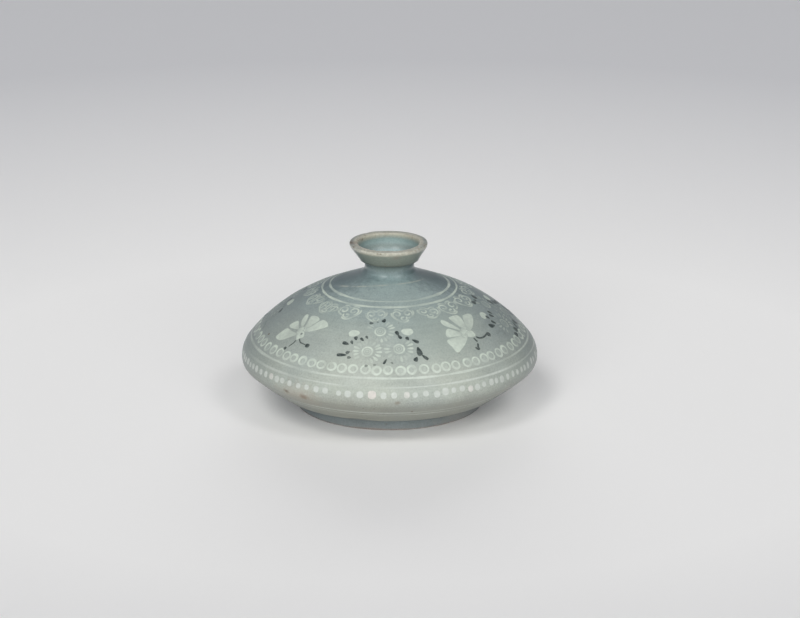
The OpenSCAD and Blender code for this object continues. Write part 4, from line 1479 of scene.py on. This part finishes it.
# place, length, width and tilt of each leaf, whose tip lies to the right before it is tilted
LEAVES = [
    (-11.8, -1.0, 2.4, 1.25, -14), (-9.9, -0.4, 1.4, 0.8, -58), (-8.7, 1.2, 1.5, 1.15, -70),
    (-6.8, 1.0, 1.6, 0.85, -42), (-5.4, 1.9, 1.2, 0.7, -55), (-12.9, -5.1, 3.6, 1.1, 6),
    (-11.0, -4.0, 1.3, 1.15, 30), (-10.5, -5.7, 1.2, 0.9, 0), (-4.2, 7.5, 1.2, 0.95, 0),
    (-2.3, 8.0, 0.6, 0.5, 0), (-0.5, 8.8, 1.6, 1.25, 70), (3.6, 3.6, 2.0, 1.15, -68),
    (4.3, 2.3, 1.9, 1.0, 124), (6.7, 1.5, 1.4, 1.05, -60), (9.1, 0.4, 2.5, 1.15, 146),
    (10.35, -3.3, 3.6, 1.85, 96), (12.2, -5.5, 2.7, 1.05, 131), (9.5, -5.9, 1.7, 1.4, 60),
    (0.3, -6.4, 2.1, 0.65, 62), (2.4, -6.9, 0.7, 0.5, -50), (-2.7, -7.6, 0.7, 0.55, 0),
    (-5.2, -8.0, 0.9, 0.7, 0),
]
# azimuth, rise, turn of the drawing and whether it is drawn the other way round
SPRAYS = [(-2.25, 19.1, 0, 1), (84.5, 19.2, 0, 1), (172.0, 19.2, -4, -1), (258.0, 18.6, 2, 1)]
# by the number of the spray: how strong its flowers show, its leaves that took hardly any slip,
# and how much larger some of its leaves came out
FLOWER_SHARES = {2: 0.6, 4: 0.4}
WORN_LEAVES = {2: (5, 6, 7), 4: (12, 13, 15, 16, 17, 18, 19, 20)}
LARGE_LEAVES = {2: {0: 1.35, 1: 1.5, 3: 1.4, 4: 1.6, 8: 1.8, 9: 2.2, 10: 1.5, 11: 1.45, 12: 1.4,
                    13: 1.7, 14: 1.6, 18: 1.7, 19: 3.8, 20: 3.6, 21: 2.6}}
print(f"a spray has {len(FLOWERS)} flowers, {len(BUDS)} buds and {len(LEAVES)} leaves")

# %% [markdown]
# Each spray is three pieces: flowers, buds and leaves. Leaves cross petals and each other, so each
# leaf lies one step higher than the one before it. A short leaf shows less than a long one.

# %% Flowers, buds and leaves
# millimetres and degrees by which the marks of the other sprays stray
SPRAY_STRAY, TILT_STRAY = 0.35, 20
WORN_SHOWS, FAINTEST_LEAF = 0.1, 0.4

for i, (azimuth, rise, turn, way) in enumerate(SPRAYS, 1):
    loose = 0.0 if i == 1 else SPRAY_STRAY
    flip = np.array([way, 1])
    flowers, buds, leaves = [], [], []
    for u, v, tenths in FLOWERS:
        drawn = flip * [u, v] + dice.normal(0, loose, 2)
        spot = spot_on(azimuth, rise, rotated(drawn, turn))
        shows = np.array(tenths) / 10 + dice.normal(0, loose / 2, PETALS)
        if way < 0:
            shows = np.roll(shows[::-1], PETALS // 2 + 1)
        flowers += flower(*spot, shows, FLOWER_SHARES.get(i, 1.0))
    for u, v, wide, tall, tilt in BUDS:
        spot = spot_on(azimuth, rise, rotated(flip * [u, v], turn))
        buds.append(bud(*spot, wide, tall, way * tilt + turn))
    for k, (u, v, length, width, tilt) in enumerate(LEAVES):
        drawn = flip * [u, v] + dice.normal(0, loose, 2)
        spot = spot_on(azimuth, rise, rotated(drawn, turn))
        large = LARGE_LEAVES.get(i, {}).get(k, 1.0)
        length, width = large * length, large * width
        worn = k in WORN_LEAVES.get(i, ())
        strength = WORN_SHOWS if worn else np.clip(0.15 + 0.55 * length, FAINTEST_LEAF, 1)
        tilt = (tilt if way > 0 else 180 - tilt) + turn + dice.normal(0, TILT_STRAY * loose)
        leaves.append(leaf(*spot, length, width, tilt, strength, OVER_STEP * (k + 2)))
    put_slip(f"flowers_{i}", flowers, "white_slip")
    put_slip(f"buds_{i}", buds, "white_slip")
    put_slip(f"leaves_{i}", leaves, "black_slip")

# %% [markdown]
# ## End

# %% Finish
print("all pieces made")
